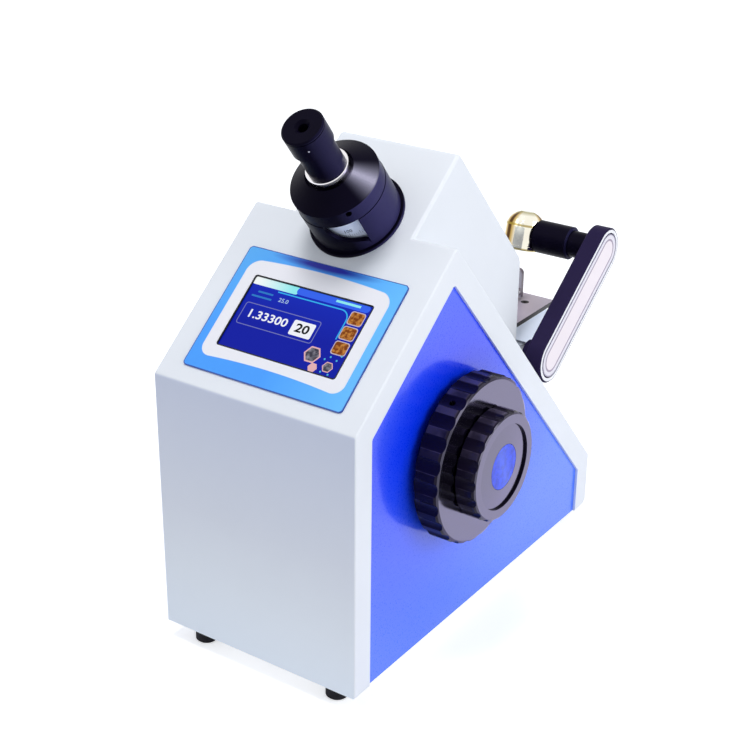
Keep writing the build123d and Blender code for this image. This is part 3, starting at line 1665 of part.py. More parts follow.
with BuildPart() as hinge_pin:
    with BuildSketch(side(-lid_half)):
        with Locations((hinge_y, hinge_z)):
            Circle(hinge_pin_radius)
    extrude(amount=2 * lid_half)
hinge_pin.part.label = "hinge_pin"
export_step(hinge_pin.part, "parts/hinge_pin.step")

with BuildPart() as hose_nozzles:
    for nozzle_height in (nozzle_z, nozzle_z - nozzle_pitch):
        nozzle_point = (mid_x - block_half, front_y + nozzle_y, base_z + nozzle_height)
        with BuildSketch(Plane(origin=nozzle_point, x_dir=(-1, 0, 0), z_dir=(0, 1, 0))):
            with BuildLine():
                Polyline(
                    (1 - nozzle_hex_length, nozzle_bore),
                    (1 - nozzle_hex_length, nozzle_radius),
                    (0, nozzle_radius),
                    (0, nozzle_hex),
                    (nozzle_hex_length, nozzle_hex),
                    (nozzle_hex_length, nozzle_radius),
                    (nozzle_barb_from, nozzle_radius),
                    (nozzle_barb_from, nozzle_radius + nozzle_barb),
                    (nozzle_barb_from + nozzle_barb_length, nozzle_radius - nozzle_barb),
                    (nozzle_barb_from + nozzle_barb_length, nozzle_radius + nozzle_barb),
                    (nozzle_length, nozzle_radius - nozzle_barb),
                    (nozzle_length, nozzle_bore),
                    close=True,
                )
            make_face()
        revolve(axis=Axis(nozzle_point, (1, 0, 0)))
hose_nozzles.part.label = "hose_nozzles"
export_step(hose_nozzles.part, "parts/hose_nozzles.step")

with BuildPart() as temperature_probe:
    with BuildSketch(side(-block_half)):
        with Locations((probe_y, probe_z)):
            RegularPolygon(probe_nut_radius, 6)
    extrude(amount=-probe_nut_length)
    with BuildSketch(side(-block_half - probe_nut_length)):
        with Locations((probe_y, probe_z)):
            Circle(probe_cap_radius)
    extrude(amount=-probe_nut_length / 2)
    with BuildSketch(side(-block_half)):
        with Locations((probe_y, probe_z)):
            Circle(probe_radius)
    extrude(amount=probe_depth - 1)
temperature_probe.part.label = "temperature_probe"
export_step(temperature_probe.part, "parts/temperature_probe.step")

# ---------------------------------------------------------------- swing-arm lamp
with BuildPart() as arm_pivot:
    with BuildSketch(arm_plane(block_half - pivot_grip)):
        Circle(pivot_radius)
    extrude(amount=arm_inner + pivot_grip - block_half + pivot_grip - side_gap)
    with BuildSketch(arm_plane(block_half)):
        Circle(collar_radius)
    extrude(amount=arm_inner - hub_length - side_gap - block_half)
    collar_ends = arm_pivot.faces().filter_by(Axis.X).sort_by(Axis.X)[-2]
    chamfer(collar_ends.outer_wire().edges(), collar_chamfer)
arm_pivot.part.label = "arm_pivot"
export_step(arm_pivot.part, "parts/arm_pivot.step")

with BuildPart() as lamp_arm:
    with BuildSketch(arm_plane(arm_inner)):
        with Locations((arm_length / 2, 0)):
            SlotCenterToCenter(arm_length, 2 * arm_half_width)
    extrude(amount=arm_outer - arm_inner)
    arm_rims = lamp_arm.faces().filter_by(Axis.X)
    chamfer(arm_rims.edges(), arm_edge_round)
    with BuildSketch(arm_plane(arm_inner - hub_length)):
        Circle(hub_radius)
    extrude(amount=hub_length)
    with BuildSketch(arm_plane(arm_outer)):
        with Locations((arm_length / 2, 0)):
            SlotCenterToCenter(arm_length, 2 * (arm_half_width - arm_pocket_margin))
    extrude(amount=-arm_pocket_depth, mode=Mode.SUBTRACT)
    with BuildSketch(arm_plane(arm_inner - hub_length)):
        Circle(pivot_radius + running_gap)
    extrude(amount=hub_length + pivot_grip, mode=Mode.SUBTRACT)
    with BuildSketch(arm_plane(arm_inner)):
        with Locations((arm_length, 0)):
            Circle(spigot_radius + running_gap)
    extrude(amount=spigot_length + side_gap, mode=Mode.SUBTRACT)
lamp_arm.part.label = "lamp_arm"
export_step(lamp_arm.part, "parts/lamp_arm.step")

with BuildPart() as arm_trim:
    with BuildSketch(arm_plane(arm_outer - arm_pocket_depth)):
        with Locations((arm_length / 2, 0)):
            SlotCenterToCenter(arm_length, 2 * (arm_half_width - arm_pocket_margin - trim_gap))
            SlotCenterToCenter(
                arm_length,
                2 * (arm_half_width - arm_pocket_margin - trim_gap - trim_width),
                mode=Mode.SUBTRACT,
            )
    extrude(amount=arm_pocket_depth)
arm_trim.part.label = "arm_trim"
export_step(arm_trim.part, "parts/arm_trim.step")

with BuildPart() as arm_inlay:
    with BuildSketch(arm_plane(arm_outer - arm_pocket_depth)):
        with Locations((arm_length / 2, 0)):
            SlotCenterToCenter(arm_length, 2 * (arm_half_width - inlay_margin))
    extrude(amount=arm_pocket_depth)
arm_inlay.part.label = "arm_inlay"
export_step(arm_inlay.part, "parts/arm_inlay.step")

with BuildPart() as lamp_tube:
    with BuildSketch(lamp_plane(barrel_x + tube_floor)):
        Circle(lamp_radius)
    extrude(amount=lamp_end - barrel_x - tube_floor)
    tube_end = lamp_tube.faces().filter_by(Axis.X).sort_by(Axis.X)[-1]
    chamfer(tube_end.edges(), tube_chamfer)
    with BuildSketch(lamp_plane(lamp_end)):
        Circle(neck_radius)
    extrude(amount=arm_inner - side_gap - lamp_end)
    with BuildSketch(lamp_plane(arm_inner - side_gap)):
        Circle(spigot_radius)
    extrude(amount=spigot_length)
lamp_tube.part.label = "lamp_tube"
export_step(lamp_tube.part, "parts/lamp_tube.step")

with BuildPart() as lamp_barrel:
    # the closed end is rounded like an egg and ends in a small flat
    barrel_shoulder = [
        (barrel_radius * cos(radians(turn)), barrel_back + barrel_dome * sin(radians(turn)))
        for turn in barrel_dome_turns
    ]
    with BuildSketch(barrel_profile):
        with BuildLine():
            Polyline(
                *reversed(barrel_shoulder),
                (barrel_radius, barrel_front + barrel_rim + barrel_step),
                (barrel_radius - barrel_step, barrel_front + barrel_rim + barrel_step),
                (barrel_radius - barrel_step, barrel_front + barrel_rim),
                (barrel_radius, barrel_front + barrel_rim),
                (barrel_radius, barrel_front + barrel_step),
                (barrel_radius - barrel_step, barrel_front),
                (0, barrel_front),
                (0, barrel_shoulder[-1][1]),
                close=True,
            )
        make_face()
    revolve(axis=barrel_axis)
    # the flat end of the lamp tube sits in a round seat cut into the side
    with BuildSketch(lamp_plane(barrel_x + tube_floor)):
        Circle(lamp_radius + running_gap)
    extrude(amount=barrel_radius, mode=Mode.SUBTRACT)
    with BuildSketch(barrel_profile):
        with BuildLine():
            Polyline(
                (0, barrel_front),
                (lens_radius - 1, barrel_front),
                (lens_radius - 1, barrel_front + 1),
                (lens_radius + running_gap, barrel_front + 1),
                (lens_radius + running_gap, barrel_back - barrel_floor),
                (0, barrel_back - barrel_floor),
                close=True,
            )
        make_face()
    revolve(axis=barrel_axis, mode=Mode.SUBTRACT)
lamp_barrel.part.label = "lamp_barrel"
export_step(lamp_barrel.part, "parts/lamp_barrel.step")

with BuildPart() as lamp_lens:
    with BuildSketch(barrel_profile):
        with BuildLine():
            Polyline(
                (0, barrel_front + 1),
                (lens_radius, barrel_front + 1),
                *dome(lens_radius, barrel_front + 2, lens_bulge),
                close=True,
            )
        make_face()
    revolve(axis=barrel_axis)
lamp_lens.part.label = "lamp_lens"
export_step(lamp_lens.part, "parts/lamp_lens.step")

with BuildPart() as led_module:
    with BuildSketch(barrel_plane(barrel_back - barrel_floor)):
        Circle(led_radius)
    extrude(amount=-led_thick)
    with BuildSketch(barrel_plane(barrel_back - barrel_floor - led_thick)):
        Rectangle(led_radius / 2, led_radius / 2)
    extrude(amount=-1)
led_module.part.label = "led_module"
export_step(led_module.part, "parts/led_module.step")
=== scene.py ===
# %% [markdown]
# # A digital refractometer, dressed in Blender
# The shapes of this instrument come from a CAD model, which this script loads as a fixed frame.
# Blender adds what the frame can't hold: paint, metal and glass, the picture on the display,
# printed scales and small trim. Every length is in metres and every piece is placed in the
# frame of the CAD model, so nothing has to be fitted by eye.

# %% Load the frame
import math

import bpy
from mathutils import Matrix, Vector


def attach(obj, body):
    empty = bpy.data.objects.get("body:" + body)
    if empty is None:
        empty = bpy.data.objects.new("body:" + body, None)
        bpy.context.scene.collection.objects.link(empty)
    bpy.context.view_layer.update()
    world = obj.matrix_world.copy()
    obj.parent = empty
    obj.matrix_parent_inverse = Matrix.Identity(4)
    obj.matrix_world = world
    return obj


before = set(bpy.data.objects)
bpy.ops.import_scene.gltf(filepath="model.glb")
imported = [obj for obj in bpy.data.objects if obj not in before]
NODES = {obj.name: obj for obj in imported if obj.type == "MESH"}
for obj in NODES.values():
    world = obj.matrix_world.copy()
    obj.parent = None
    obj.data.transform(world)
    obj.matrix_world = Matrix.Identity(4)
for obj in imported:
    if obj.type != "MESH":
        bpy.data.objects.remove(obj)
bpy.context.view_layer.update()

# %% [markdown]
# Blender's operators act on whatever is selected, and loading leaves everything selected.
# One small helper clears the selection and is called before each new piece.

# %% Clear the selection
def select_only(*objects):
    """Leave only these objects selected, the last one active."""
    if bpy.context.object and bpy.context.object.mode != "OBJECT":
        bpy.ops.object.mode_set(mode="OBJECT")
    bpy.ops.object.select_all(action="DESELECT")
    for item in objects:
        item.select_set(True)
        bpy.context.view_layer.objects.active = item


select_only()
print("nothing selected")

# %% [markdown]
# ## Camera
# The instrument is seen from its front right, from above. The camera's place and turn were
# worked out once from the corners of the housing, and are written here as three axes and a
# point. A long lens keeps the verticals nearly parallel, as in the photograph.

# %% Camera
CAMERA_AT = (0.5479, -0.8688, 0.6385)
LENS_MM, SENSOR_MM = 73.88, 36.0
camera_data = bpy.data.cameras.new("camera")
camera_data.lens = LENS_MM
camera_data.sensor_width = SENSOR_MM
camera = bpy.data.objects.new("camera", camera_data)
bpy.context.scene.collection.objects.link(camera)
camera_right = Vector((0.82198, 0.56945, 0.00906))
camera_up = Vector((-0.2451, 0.3393, 0.9082))
camera_back = Vector((0.5141, -0.7487, 0.4185))
camera_turn = Matrix((camera_right, camera_up, camera_back)).transposed().to_4x4()
camera.matrix_world = Matrix.Translation(CAMERA_AT) @ camera_turn
bpy.context.scene.camera = camera
print("camera at", [round(v, 3) for v in camera.location])

# %% [markdown]
# ## Floor, light and background
# A product photograph has a white sweep under the instrument and large soft lamps over it.
# The background is made white only for the camera and for reflections, so that it puts no
# extra light on the paint.

# %% World
AMBIENT_COLOUR, AMBIENT_STRENGTH = (0.82, 0.89, 1.0, 1.0), 0.42


def show_white(nodes, links, plain, white, out):
    """Give the camera, reflections and glass the white shader, and all else the plain one."""
    path = nodes.new("ShaderNodeLightPath")
    seen = nodes.new("ShaderNodeMath")
    seen.operation = "MAXIMUM"
    links.new(path.outputs["Is Camera Ray"], seen.inputs[0])
    links.new(path.outputs["Is Glossy Ray"], seen.inputs[1])
    through = nodes.new("ShaderNodeMath")
    through.operation = "MAXIMUM"
    links.new(seen.outputs[0], through.inputs[0])
    links.new(path.outputs["Is Transmission Ray"], through.inputs[1])
    mix = nodes.new("ShaderNodeMixShader")
    links.new(through.outputs[0], mix.inputs[0])
    links.new(plain, mix.inputs[1])
    links.new(white, mix.inputs[2])
    links.new(mix.outputs[0], out)


world = bpy.data.worlds.new("studio")
bpy.context.scene.world = world
world.use_nodes = True
sky = world.node_tree.nodes
sky.clear()
ambient = sky.new("ShaderNodeBackground")
ambient.inputs["Color"].default_value = AMBIENT_COLOUR
ambient.inputs["Strength"].default_value = AMBIENT_STRENGTH
backdrop = sky.new("ShaderNodeBackground")
backdrop.inputs["Color"].default_value = (1.0, 1.0, 1.0, 1.0)
backdrop.inputs["Strength"].default_value = 1.0
sky_out = sky.new("ShaderNodeOutputWorld")
show_white(sky, world.node_tree.links, ambient.outputs[0], backdrop.outputs[0],
           sky_out.inputs[0])
print("white background, ambient light", AMBIENT_STRENGTH)

# %% [markdown]
# The floor is one large plane. Like the background, it glows only for the camera, reflections
# and glass. It glows a little less near the instrument than far from it, so that a soft shadow
# still shows under the feet and the distance stays white.

# %% Floor
FLOOR_HALF = 6.0
FLOOR_COLOUR = (0.93, 0.93, 0.94, 1.0)
FLOOR_GLOW = (("From Min", 0.6), ("From Max", 2.6), ("To Min", 0.55), ("To Max", 0.80))
select_only()
bpy.ops.mesh.primitive_plane_add(size=2 * FLOOR_HALF, location=(0, 0, 0))
floor = bpy.context.object
floor.name = "floor"
sweep = bpy.data.materials.new("white_sweep")
sweep.use_nodes = True
sweep_nodes = sweep.node_tree.nodes
sweep_nodes.clear()
sweep_paint = sweep_nodes.new("ShaderNodeBsdfDiffuse")
sweep_paint.inputs["Color"].default_value = FLOOR_COLOUR
sweep_glow = sweep_nodes.new("ShaderNodeEmission")
where = sweep_nodes.new("ShaderNodeTexCoord")
distance = sweep_nodes.new("ShaderNodeVectorMath")
distance.operation = "LENGTH"
sweep.node_tree.links.new(where.outputs["Object"], distance.inputs[0])
brighter = sweep_nodes.new("ShaderNodeMapRange")
for socket, value in FLOOR_GLOW:
    brighter.inputs[socket].default_value = value
sweep.node_tree.links.new(distance.outputs["Value"], brighter.inputs["Value"])
sweep.node_tree.links.new(brighter.outputs["Result"], sweep_glow.inputs["Strength"])
sweep_add = sweep_nodes.new("ShaderNodeAddShader")
sweep.node_tree.links.new(sweep_paint.outputs[0], sweep_add.inputs[0])
sweep.node_tree.links.new(sweep_glow.outputs[0], sweep_add.inputs[1])
sweep_out = sweep_nodes.new("ShaderNodeOutputMaterial")
show_white(sweep_nodes, sweep.node_tree.links, sweep_paint.outputs[0], sweep_add.outputs[0],
           sweep_out.inputs[0])
floor.data.materials.append(sweep)
print("floor", 2 * FLOOR_HALF, "m wide")

# %% [markdown]
# Three large area lamps light the instrument. One stands to its right and lights the blue
# panel. One hangs above and lights the sloping front and the tower, so that the upright front
# stays a shade darker. A weak one at the front left lifts that front and the black parts. An
# area lamp of P watts gives a surface at distance d about P / (pi^2 d^2) of its own colour, so
# each lamp is given as that share.

# %% Lamps
def studio_lamp(name, place, aim, size, share):
    """A square area lamp that lights what it is aimed at by a share of full brightness."""
    data = bpy.data.lights.new(name, "AREA")
    data.shape = "SQUARE"
    data.size = size
    distance = (Vector(place) - Vector(aim)).length
    data.energy = share * math.pi ** 2 * distance ** 2
    lamp = bpy.data.objects.new(name, data)
    bpy.context.scene.collection.objects.link(lamp)
    lamp.location = place
    lamp.rotation_euler = (Vector(aim) - Vector(place)).to_track_quat("-Z", "Y").to_euler()
    return data.energy


AIM = (0.0, 0.0, 0.18)
for name, place, size, share in (("side_lamp", (1.5, 0.25, 0.75), 1.2, 0.47),
                                 ("top_lamp", (-0.1, -0.35, 1.9), 0.60, 0.475),
                                 ("front_lamp", (-0.9, -0.95, 1.25), 1.0, 0.09)):
    print(name, round(studio_lamp(name, place, AIM, size, share), 1), "W")

# %% [markdown]
# ## Local frames
# Most details lie on the sloping front, along the sighting tube, on the knobs or on the lamp
# arm. Each of these has a frame of its own: the slope's X runs right and its Y up the slope,
# the knobs' and arm's Z points out to the right. The numbers are those of the CAD model.

# %% Local frames
BODY = Vector((-0.0188, -0.18401, 0.014))
FRONT_HEIGHT = 0.195
SLOPE = math.radians(38.8)
SIGHT_UP_SLOPE = 0.151
KNOB_AT = Vector((0.0, 0.121, 0.1345))
ARM_AT = Vector((0.0, 0.267, 0.1493))
ARM_TURN = math.radians(37.0)
ARM_LENGTH = 0.1032
LAMP_TURN = math.radians(-15.0)
slope_place = (Matrix.Translation(BODY + Vector((0.0, 0.0, FRONT_HEIGHT)))
               @ Matrix.Rotation(SLOPE, 4, "X"))
sight_place = slope_place @ Matrix.Translation((0.0, SIGHT_UP_SLOPE, 0.0))
out_right = Matrix(((0, 0, 1, 0), (1, 0, 0, 0), (0, 1, 0, 0), (0, 0, 0, 1)))
knob_place = Matrix.Translation(BODY + KNOB_AT) @ out_right
arm_place = (Matrix.Translation(BODY + ARM_AT) @ out_right
             @ Matrix.Rotation(ARM_TURN, 4, "Z"))
lamp_point = arm_place @ Vector((ARM_LENGTH, 0.0, 0.0007))
barrel_place = Matrix.Translation(lamp_point) @ Matrix.Rotation(LAMP_TURN, 4, "X")
print("sight point", [round(v, 4) for v in sight_place.to_translation()])
print("lamp point", [round(v, 4) for v in lamp_point])

# %% [markdown]
# ## Finishes
# A painted or moulded surface is never one flat colour. Each finish below starts from the
# Principled shader. A broad noise clouds its colour by a few per cent, and a fine one changes
# its gloss and gives the orange peel, mould or blast texture as bump. Both read Object
# coordinates in metres, so a grain of 1.2 mm is a scale of 1 / 0.0012.
# Colours are written as six-digit screen colours and turned into the linear values that
# Blender mixes light with.

# %% Colours
def paint(code):
    """Linear colour of a six-digit screen colour."""
    parts = [int(code[place:place + 2], 16) / 255 for place in (0, 2, 4)]
    return tuple(part / 12.92 if part <= 0.04045 else ((part + 0.055) / 1.055) ** 2.4
                 for part in parts)


def opaque(code):
    """The same colour as the four values of a socket."""
    return (*paint(code), 1.0)


def tint(colour, share):
    """A colour made darker or lighter, kept between 0 and 1."""
    return tuple(min(1.0, max(0.0, part * share)) for part in colour) + (1.0,)


print("mid grey", [round(part, 3) for part in paint("808080")])

# %% Noise and mixing
def noise(tree, size, detail=2.0, stretch=None):
    """A noise whose grain is about this size in metres."""
    coordinates = tree.nodes.new("ShaderNodeTexCoord")
    texture = tree.nodes.new("ShaderNodeTexNoise")
    texture.inputs["Scale"].default_value = 1.0 / size
    texture.inputs["Detail"].default_value = detail
    source = coordinates.outputs["Object"]
    if stretch:
        mapping = tree.nodes.new("ShaderNodeMapping")
        mapping.inputs["Scale"].default_value = stretch
        tree.links.new(source, mapping.inputs["Vector"])
        source = mapping.outputs["Vector"]
    tree.links.new(source, texture.inputs["Vector"])
    return texture.outputs["Fac"]


def blend_colours(tree, factor, first, second):
    """The first colour where the factor is 0, the second where it is 1."""
    mix = tree.nodes.new("ShaderNodeMix")
    mix.data_type = "RGBA"
    for socket, value in ((mix.inputs[0], factor), (mix.inputs[6], first),
                          (mix.inputs[7], second)):
        if isinstance(value, bpy.types.NodeSocket):
            tree.links.new(value, socket)
        else:
            socket.default_value = value
    return mix.outputs[2]


def spread(tree, factor, low, high, from_low=0.3, from_high=0.7):
    """Map a value from one range to another, held at the ends."""
    limits = tree.nodes.new("ShaderNodeMapRange")
    limits.inputs["From Min"].default_value = from_low
    limits.inputs["From Max"].default_value = from_high
    limits.inputs["To Min"].default_value = low
    limits.inputs["To Max"].default_value = high
    tree.links.new(factor, limits.inputs["Value"])
    return limits.outputs["Result"]


print("noise and mixing ready")

# %% Finish helper
COAT_ROUGHNESS = 0.12


def finish(name, colour, roughness, *, cloud, relief, metallic=0.0, cloud_size=0.06,
           gloss=0.04, grain=0.0012, coat=0.0, stretch=None, more=None):
    """A Principled finish with clouded colour, uneven gloss and a fine relief."""
    material = bpy.data.materials.new(name)
    material.use_nodes = True
    tree = material.node_tree
    shader = tree.nodes["Principled BSDF"]
    shader.inputs["Metallic"].default_value = metallic
    shader.inputs["Coat Weight"].default_value = coat
    shader.inputs["Coat Roughness"].default_value = COAT_ROUGHNESS
    for socket, value in (more or {}).items():
        shader.inputs[socket].default_value = value
    clouds = noise(tree, cloud_size, 3.0, stretch)
    fine = noise(tree, grain, 2.0, stretch)
    clouded = blend_colours(tree, spread(tree, clouds, 0.0, 1.0), tint(colour, 1 - cloud),
                            tint(colour, 1 + cloud))
    tree.links.new(clouded, shader.inputs["Base Color"])
    tree.links.new(spread(tree, fine, max(0.0, roughness - gloss), roughness + gloss),
                   shader.inputs["Roughness"])
    bump = tree.nodes.new("ShaderNodeBump")
    bump.inputs["Distance"].default_value = relief
    tree.links.new(fine, bump.inputs["Height"])
    tree.links.new(bump.outputs["Normal"], shader.inputs["Normal"])
    return material


print("finish helper ready")

# %% [markdown]
# A print, a streak or a worn edge is a second colour laid over a finish by a mask, a number
# that is 1 inside the mark and 0 outside. Masks are worked out in the shader from the local
# frames above, so they need no picture and stay with their piece when it moves.

# %% Arithmetic in a shader
def calc(tree, operation, *values):
    """One Math node, its inputs given as numbers or as sockets."""
    node = tree.nodes.new("ShaderNodeMath")
    node.operation = operation
    for socket, value in zip(node.inputs, values):
        if isinstance(value, bpy.types.NodeSocket):
            tree.links.new(value, socket)
        else:
            socket.default_value = value
    return node.outputs[0]


def from_axis(tree, x, y):
    """Distance from the point where both coordinates are 0."""
    return calc(tree, "SQRT", calc(tree, "ADD", calc(tree, "POWER", x, 2.0),
                                   calc(tree, "POWER", y, 2.0)))


def within(tree, value, rise, fall):
    """1 between two limits, each given as the pair of values over which it fades."""
    return calc(tree, "MULTIPLY", spread(tree, value, 0.0, 1.0, *rise),
                spread(tree, value, 1.0, 0.0, *fall))


print("shader arithmetic ready")

# %% Masks
EDGE_SOFTNESS = 0.0002


def local_axes(tree, place):
    """X, Y and Z of the shaded point in a local frame of the instrument."""
    coordinates = tree.nodes.new("ShaderNodeTexCoord")
    mapping = tree.nodes.new("ShaderNodeMapping")
    mapping.vector_type = "TEXTURE"
    mapping.inputs["Location"].default_value = place.to_translation()
    mapping.inputs["Rotation"].default_value = place.to_euler()
    tree.links.new(coordinates.outputs["Object"], mapping.inputs["Vector"])
    split = tree.nodes.new("ShaderNodeSeparateXYZ")
    tree.links.new(mapping.outputs["Vector"], split.inputs[0])
    return split.outputs


def overlay(material, factor, colour, name="Base Color"):
    """Lay a colour or value over what a socket of the finish already has."""
    tree = material.node_tree
    socket = tree.nodes["Principled BSDF"].inputs[name]
    if name == "Base Color":
        before = socket.links[0].from_socket
        tree.links.new(blend_colours(tree, factor, before, colour), socket)
        return
    before = socket.links[0].from_socket if socket.links else socket.default_value
    rest = calc(tree, "MULTIPLY", calc(tree, "SUBTRACT", 1.0, factor), before)
    tree.links.new(calc(tree, "ADD", rest, calc(tree, "MULTIPLY", factor, colour)), socket)


def facing(tree, axis, low=0.7, high=0.9):
    """1 where the piece's own normal points along an axis, 0 elsewhere."""
    coordinates = tree.nodes.new("ShaderNodeTexCoord")
    split = tree.nodes.new("ShaderNodeSeparateXYZ")
    tree.links.new(coordinates.outputs["Normal"], split.inputs[0])
    return spread(tree, split.outputs["XYZ".index(axis)], 0.0, 1.0, low, high)


def rounded_box(tree, x, y, centre, half, radius):
    """1 inside a rounded rectangle, 0 outside."""
    reach = []
    for value, middle, size in zip((x, y), centre, half):
        away = calc(tree, "ABSOLUTE", calc(tree, "SUBTRACT", value, middle))
        past = calc(tree, "MAXIMUM", calc(tree, "SUBTRACT", away, size - radius), 0.0)
        reach.append(calc(tree, "POWER", past, 2.0))
    distance = calc(tree, "SQRT", calc(tree, "ADD", *reach))
    return spread(tree, distance, 1.0, 0.0, radius - EDGE_SOFTNESS, radius + EDGE_SOFTNESS)


print("masks ready")

# %% [markdown]
# The housing is folded sheet steel with a fine powder coat, off-white with a trace of blue.
# Its front carries painted shading: two soft masks by height lie over the coat there, a
# painted shade, darker and bluer, at the top and a painted light, paler, at the foot. The side
# panels are a strong blue under a clear coat, with a painted shade deep next to the knobs and
# a painted sheen, lighter away from them and towards the lower rear.

# %% Housing coat
shell_paint = finish("shell_paint", paint("E9ECF1"), 0.42, cloud=0.015, gloss=0.05,
                     grain=0.0009, relief=0.000025)
tree = shell_paint.node_tree
on_front = facing(tree, "Y", -0.80, -0.95)
_, _, front_z = local_axes(tree, Matrix.Translation(BODY))
# Painted shade and light on the front: darker and bluer at the top, paler at the foot.
painted_shade_top = spread(tree, front_z, 0.0, 1.0, 0.04, 0.20)
painted_light_foot = spread(tree, front_z, 1.0, 0.0, 0.0, 0.10)
overlay(shell_paint, calc(tree, "MULTIPLY", on_front, painted_shade_top), opaque("D3D9EB"))
overlay(shell_paint, calc(tree, "MULTIPLY", on_front, painted_light_foot), opaque("ECF4FD"))
print("housing coat ready")

# %% Side panels
panel_paint = finish("panel_paint", paint("0538FF"), 0.30, cloud=0.03, gloss=0.05,
                     grain=0.0009, relief=0.000015, coat=0.5,
                     more={"Specular IOR Level": 0.25})
tree = panel_paint.node_tree
knob_x, knob_y, _ = local_axes(tree, knob_place)
# Painted sheen and shade: the panel is lighter towards its lower rear and away from the knobs,
# and stays deep next to the knobs as painted shade.
down_rear = calc(tree, "SUBTRACT", calc(tree, "MULTIPLY", knob_x, 0.45), knob_y)
painted_sheen_lower_rear = calc(tree, "MULTIPLY", 0.55, spread(tree, down_rear, 0.0, 1.0, -0.06, 0.14))
overlay(panel_paint, painted_sheen_lower_rear, opaque("5590FF"))
painted_sheen_off_knob = spread(tree, from_axis(tree, knob_x, knob_y), 0.0, 1.0, 0.07, 0.15)
overlay(panel_paint, calc(tree, "MULTIPLY", 0.35, painted_sheen_off_knob), opaque("4A86FF"))
print("side panels ready")

# %% [markdown]
# Zinc, rubber and screws are small or lie underneath, so a plain finish with a coarse grain is
# enough for them.

# %% Underside and screws
zinc = finish("zinc", (0.62, 0.64, 0.67), 0.38, metallic=0.9, cloud=0.12, cloud_size=0.012,
              grain=0.003, relief=0.00001)
rubber = finish("rubber", (0.010, 0.009, 0.013), 0.72, cloud=0.15, grain=0.0008,
                relief=0.00004, more={"Specular IOR Level": 0.2})
screw_steel = finish("screw_steel", (0.55, 0.54, 0.56), 0.28, metallic=1.0, cloud=0.06,
                     cloud_size=0.004, grain=0.0006, relief=0.000008)
black_screw = finish("black_screw", (0.012, 0.010, 0.014), 0.40, cloud=0.10,
                     cloud_size=0.004, grain=0.0005, relief=0.000008,
                     more={"Specular IOR Level": 0.2})
print("underside and screws ready")

# %% [markdown]
# The optics, knobs and arm are black with a violet cast, which a pure black would miss. The
# eyepiece is satin anodised aluminium. Its right side carries a painted violet sheen and its
# cone one painted highlight, a pale streak that is also made metallic. Both are masks in the
# frame of the sighting tube.

# %% Anodised black
VIOLET_SHINE = {"Specular IOR Level": 0.035, "Specular Tint": (0.80, 0.74, 1.0, 1.0)}
anodised_black = finish("anodised_black", (0.0030, 0.0022, 0.0085), 0.30, cloud=0.12,
                        cloud_size=0.02, grain=0.0005, relief=0.00001, more=VIOLET_SHINE)
tree = anodised_black.node_tree
turned_x, turned_y, turned_z = local_axes(tree, sight_place)
# A painted violet sheen on the eyepiece's right side, then a painted highlight streak on its
# cone.
wide_parts = spread(tree, turned_x, 0.0, 1.0, 0.004, 0.008)
weaker_above_cone = spread(tree, turned_z, 1.0, 0.45, 0.050, 0.054)
painted_sheen_right = calc(tree, "MULTIPLY", facing(tree, "X", 0.50, 1.0),
                  calc(tree, "MULTIPLY", wide_parts, weaker_above_cone))
overlay(anodised_black, painted_sheen_right, (0.038, 0.034, 0.112, 1.0))
HIGHLIGHT_TURN = math.radians(7.0)
off_highlight = calc(tree, "SUBTRACT", calc(tree, "ARCTAN2", turned_y, turned_x), HIGHLIGHT_TURN)
highlight_falloff = spread(tree, calc(tree, "ABSOLUTE", off_highlight), 1.0, 0.0, 0.04, 0.60)
on_cone = within(tree, turned_z, (0.0410, 0.0422), (0.0508, 0.0516))
soft_highlight = calc(tree, "MULTIPLY", calc(tree, "POWER", highlight_falloff, 2.0), on_cone)
painted_highlight_cone = calc(tree, "MULTIPLY", soft_highlight, 0.68)
overlay(anodised_black, painted_highlight_cone, (0.52, 0.50, 0.66, 1.0))
overlay(anodised_black, painted_highlight_cone, 0.9, "Metallic")
print("anodised black ready")

# %% Other black finishes
arm_black = finish("arm_black", (0.020, 0.0140, 0.050), 0.46, cloud=0.08, cloud_size=0.03,
                   grain=0.0006, relief=0.000015, more=VIOLET_SHINE)
inside_black = finish("inside_black", (0.006, 0.005, 0.008), 0.62, cloud=0.10,
                      grain=0.0006, relief=0.00002, more={"Specular IOR Level": 0.2})
moulded_black = finish("moulded_black", (0.006, 0.005, 0.011), 0.36, cloud=0.10,
                       cloud_size=0.03, grain=0.0010, relief=0.00002,
                       more={"Specular IOR Level": 0.25})
print("black finishes ready")

# %% [markdown]
# The knobs are glossy mouldings. The ridges of their rims are lighter in worn patches only
# where they face upwards, so the mark is part wear and part painted highlight from above, and
# their flat faces are polished like a grey mirror. The distance from the knobs' axis tells the
# ridges from the valleys, and the piece's own normal tells face from rim. Towards the
# scalloped border the face turns away, and there a painted shade darkens it.

# %% Knob rims
COARSE_RIDGES = (0.0591, 0.0595)
FINE_RIDGES = (0.0385, 0.0389)
FINE_END = (0.0400, 0.0410)
knob_gloss = finish("knob_gloss", (0.0042, 0.0025, 0.0120), 0.16, cloud=0.15,
                    cloud_size=0.02, gloss=0.04, grain=0.0008, relief=0.000006,
                    more={"Specular IOR Level": 0.16,
                          "Specular Tint": (0.86, 0.80, 1.0, 1.0)})
tree = knob_gloss.node_tree
rim_x, rim_y, _ = local_axes(tree, knob_place)
rim_reach = from_axis(tree, rim_x, rim_y)
ridges = calc(tree, "MAXIMUM", spread(tree, rim_reach, 0.0, 1.0, *COARSE_RIDGES),
              within(tree, rim_reach, FINE_RIDGES, FINE_END))
# Upward-facing ridges turn lighter: worn patches together with a painted highlight from above.
ridges_lit_from_above = calc(tree, "MULTIPLY", ridges, facing(tree, "Z", 0.30, 1.0))
patches = spread(tree, noise(tree, 0.012), 0.15, 0.75, 0.40, 0.60)
worn_and_lit_ridges = calc(tree, "MULTIPLY", ridges_lit_from_above, patches)
overlay(knob_gloss, worn_and_lit_ridges, (0.12, 0.10, 0.17, 1.0))
overlay(knob_gloss, worn_and_lit_ridges, 0.7, "Metallic")
print("knob rims ready")

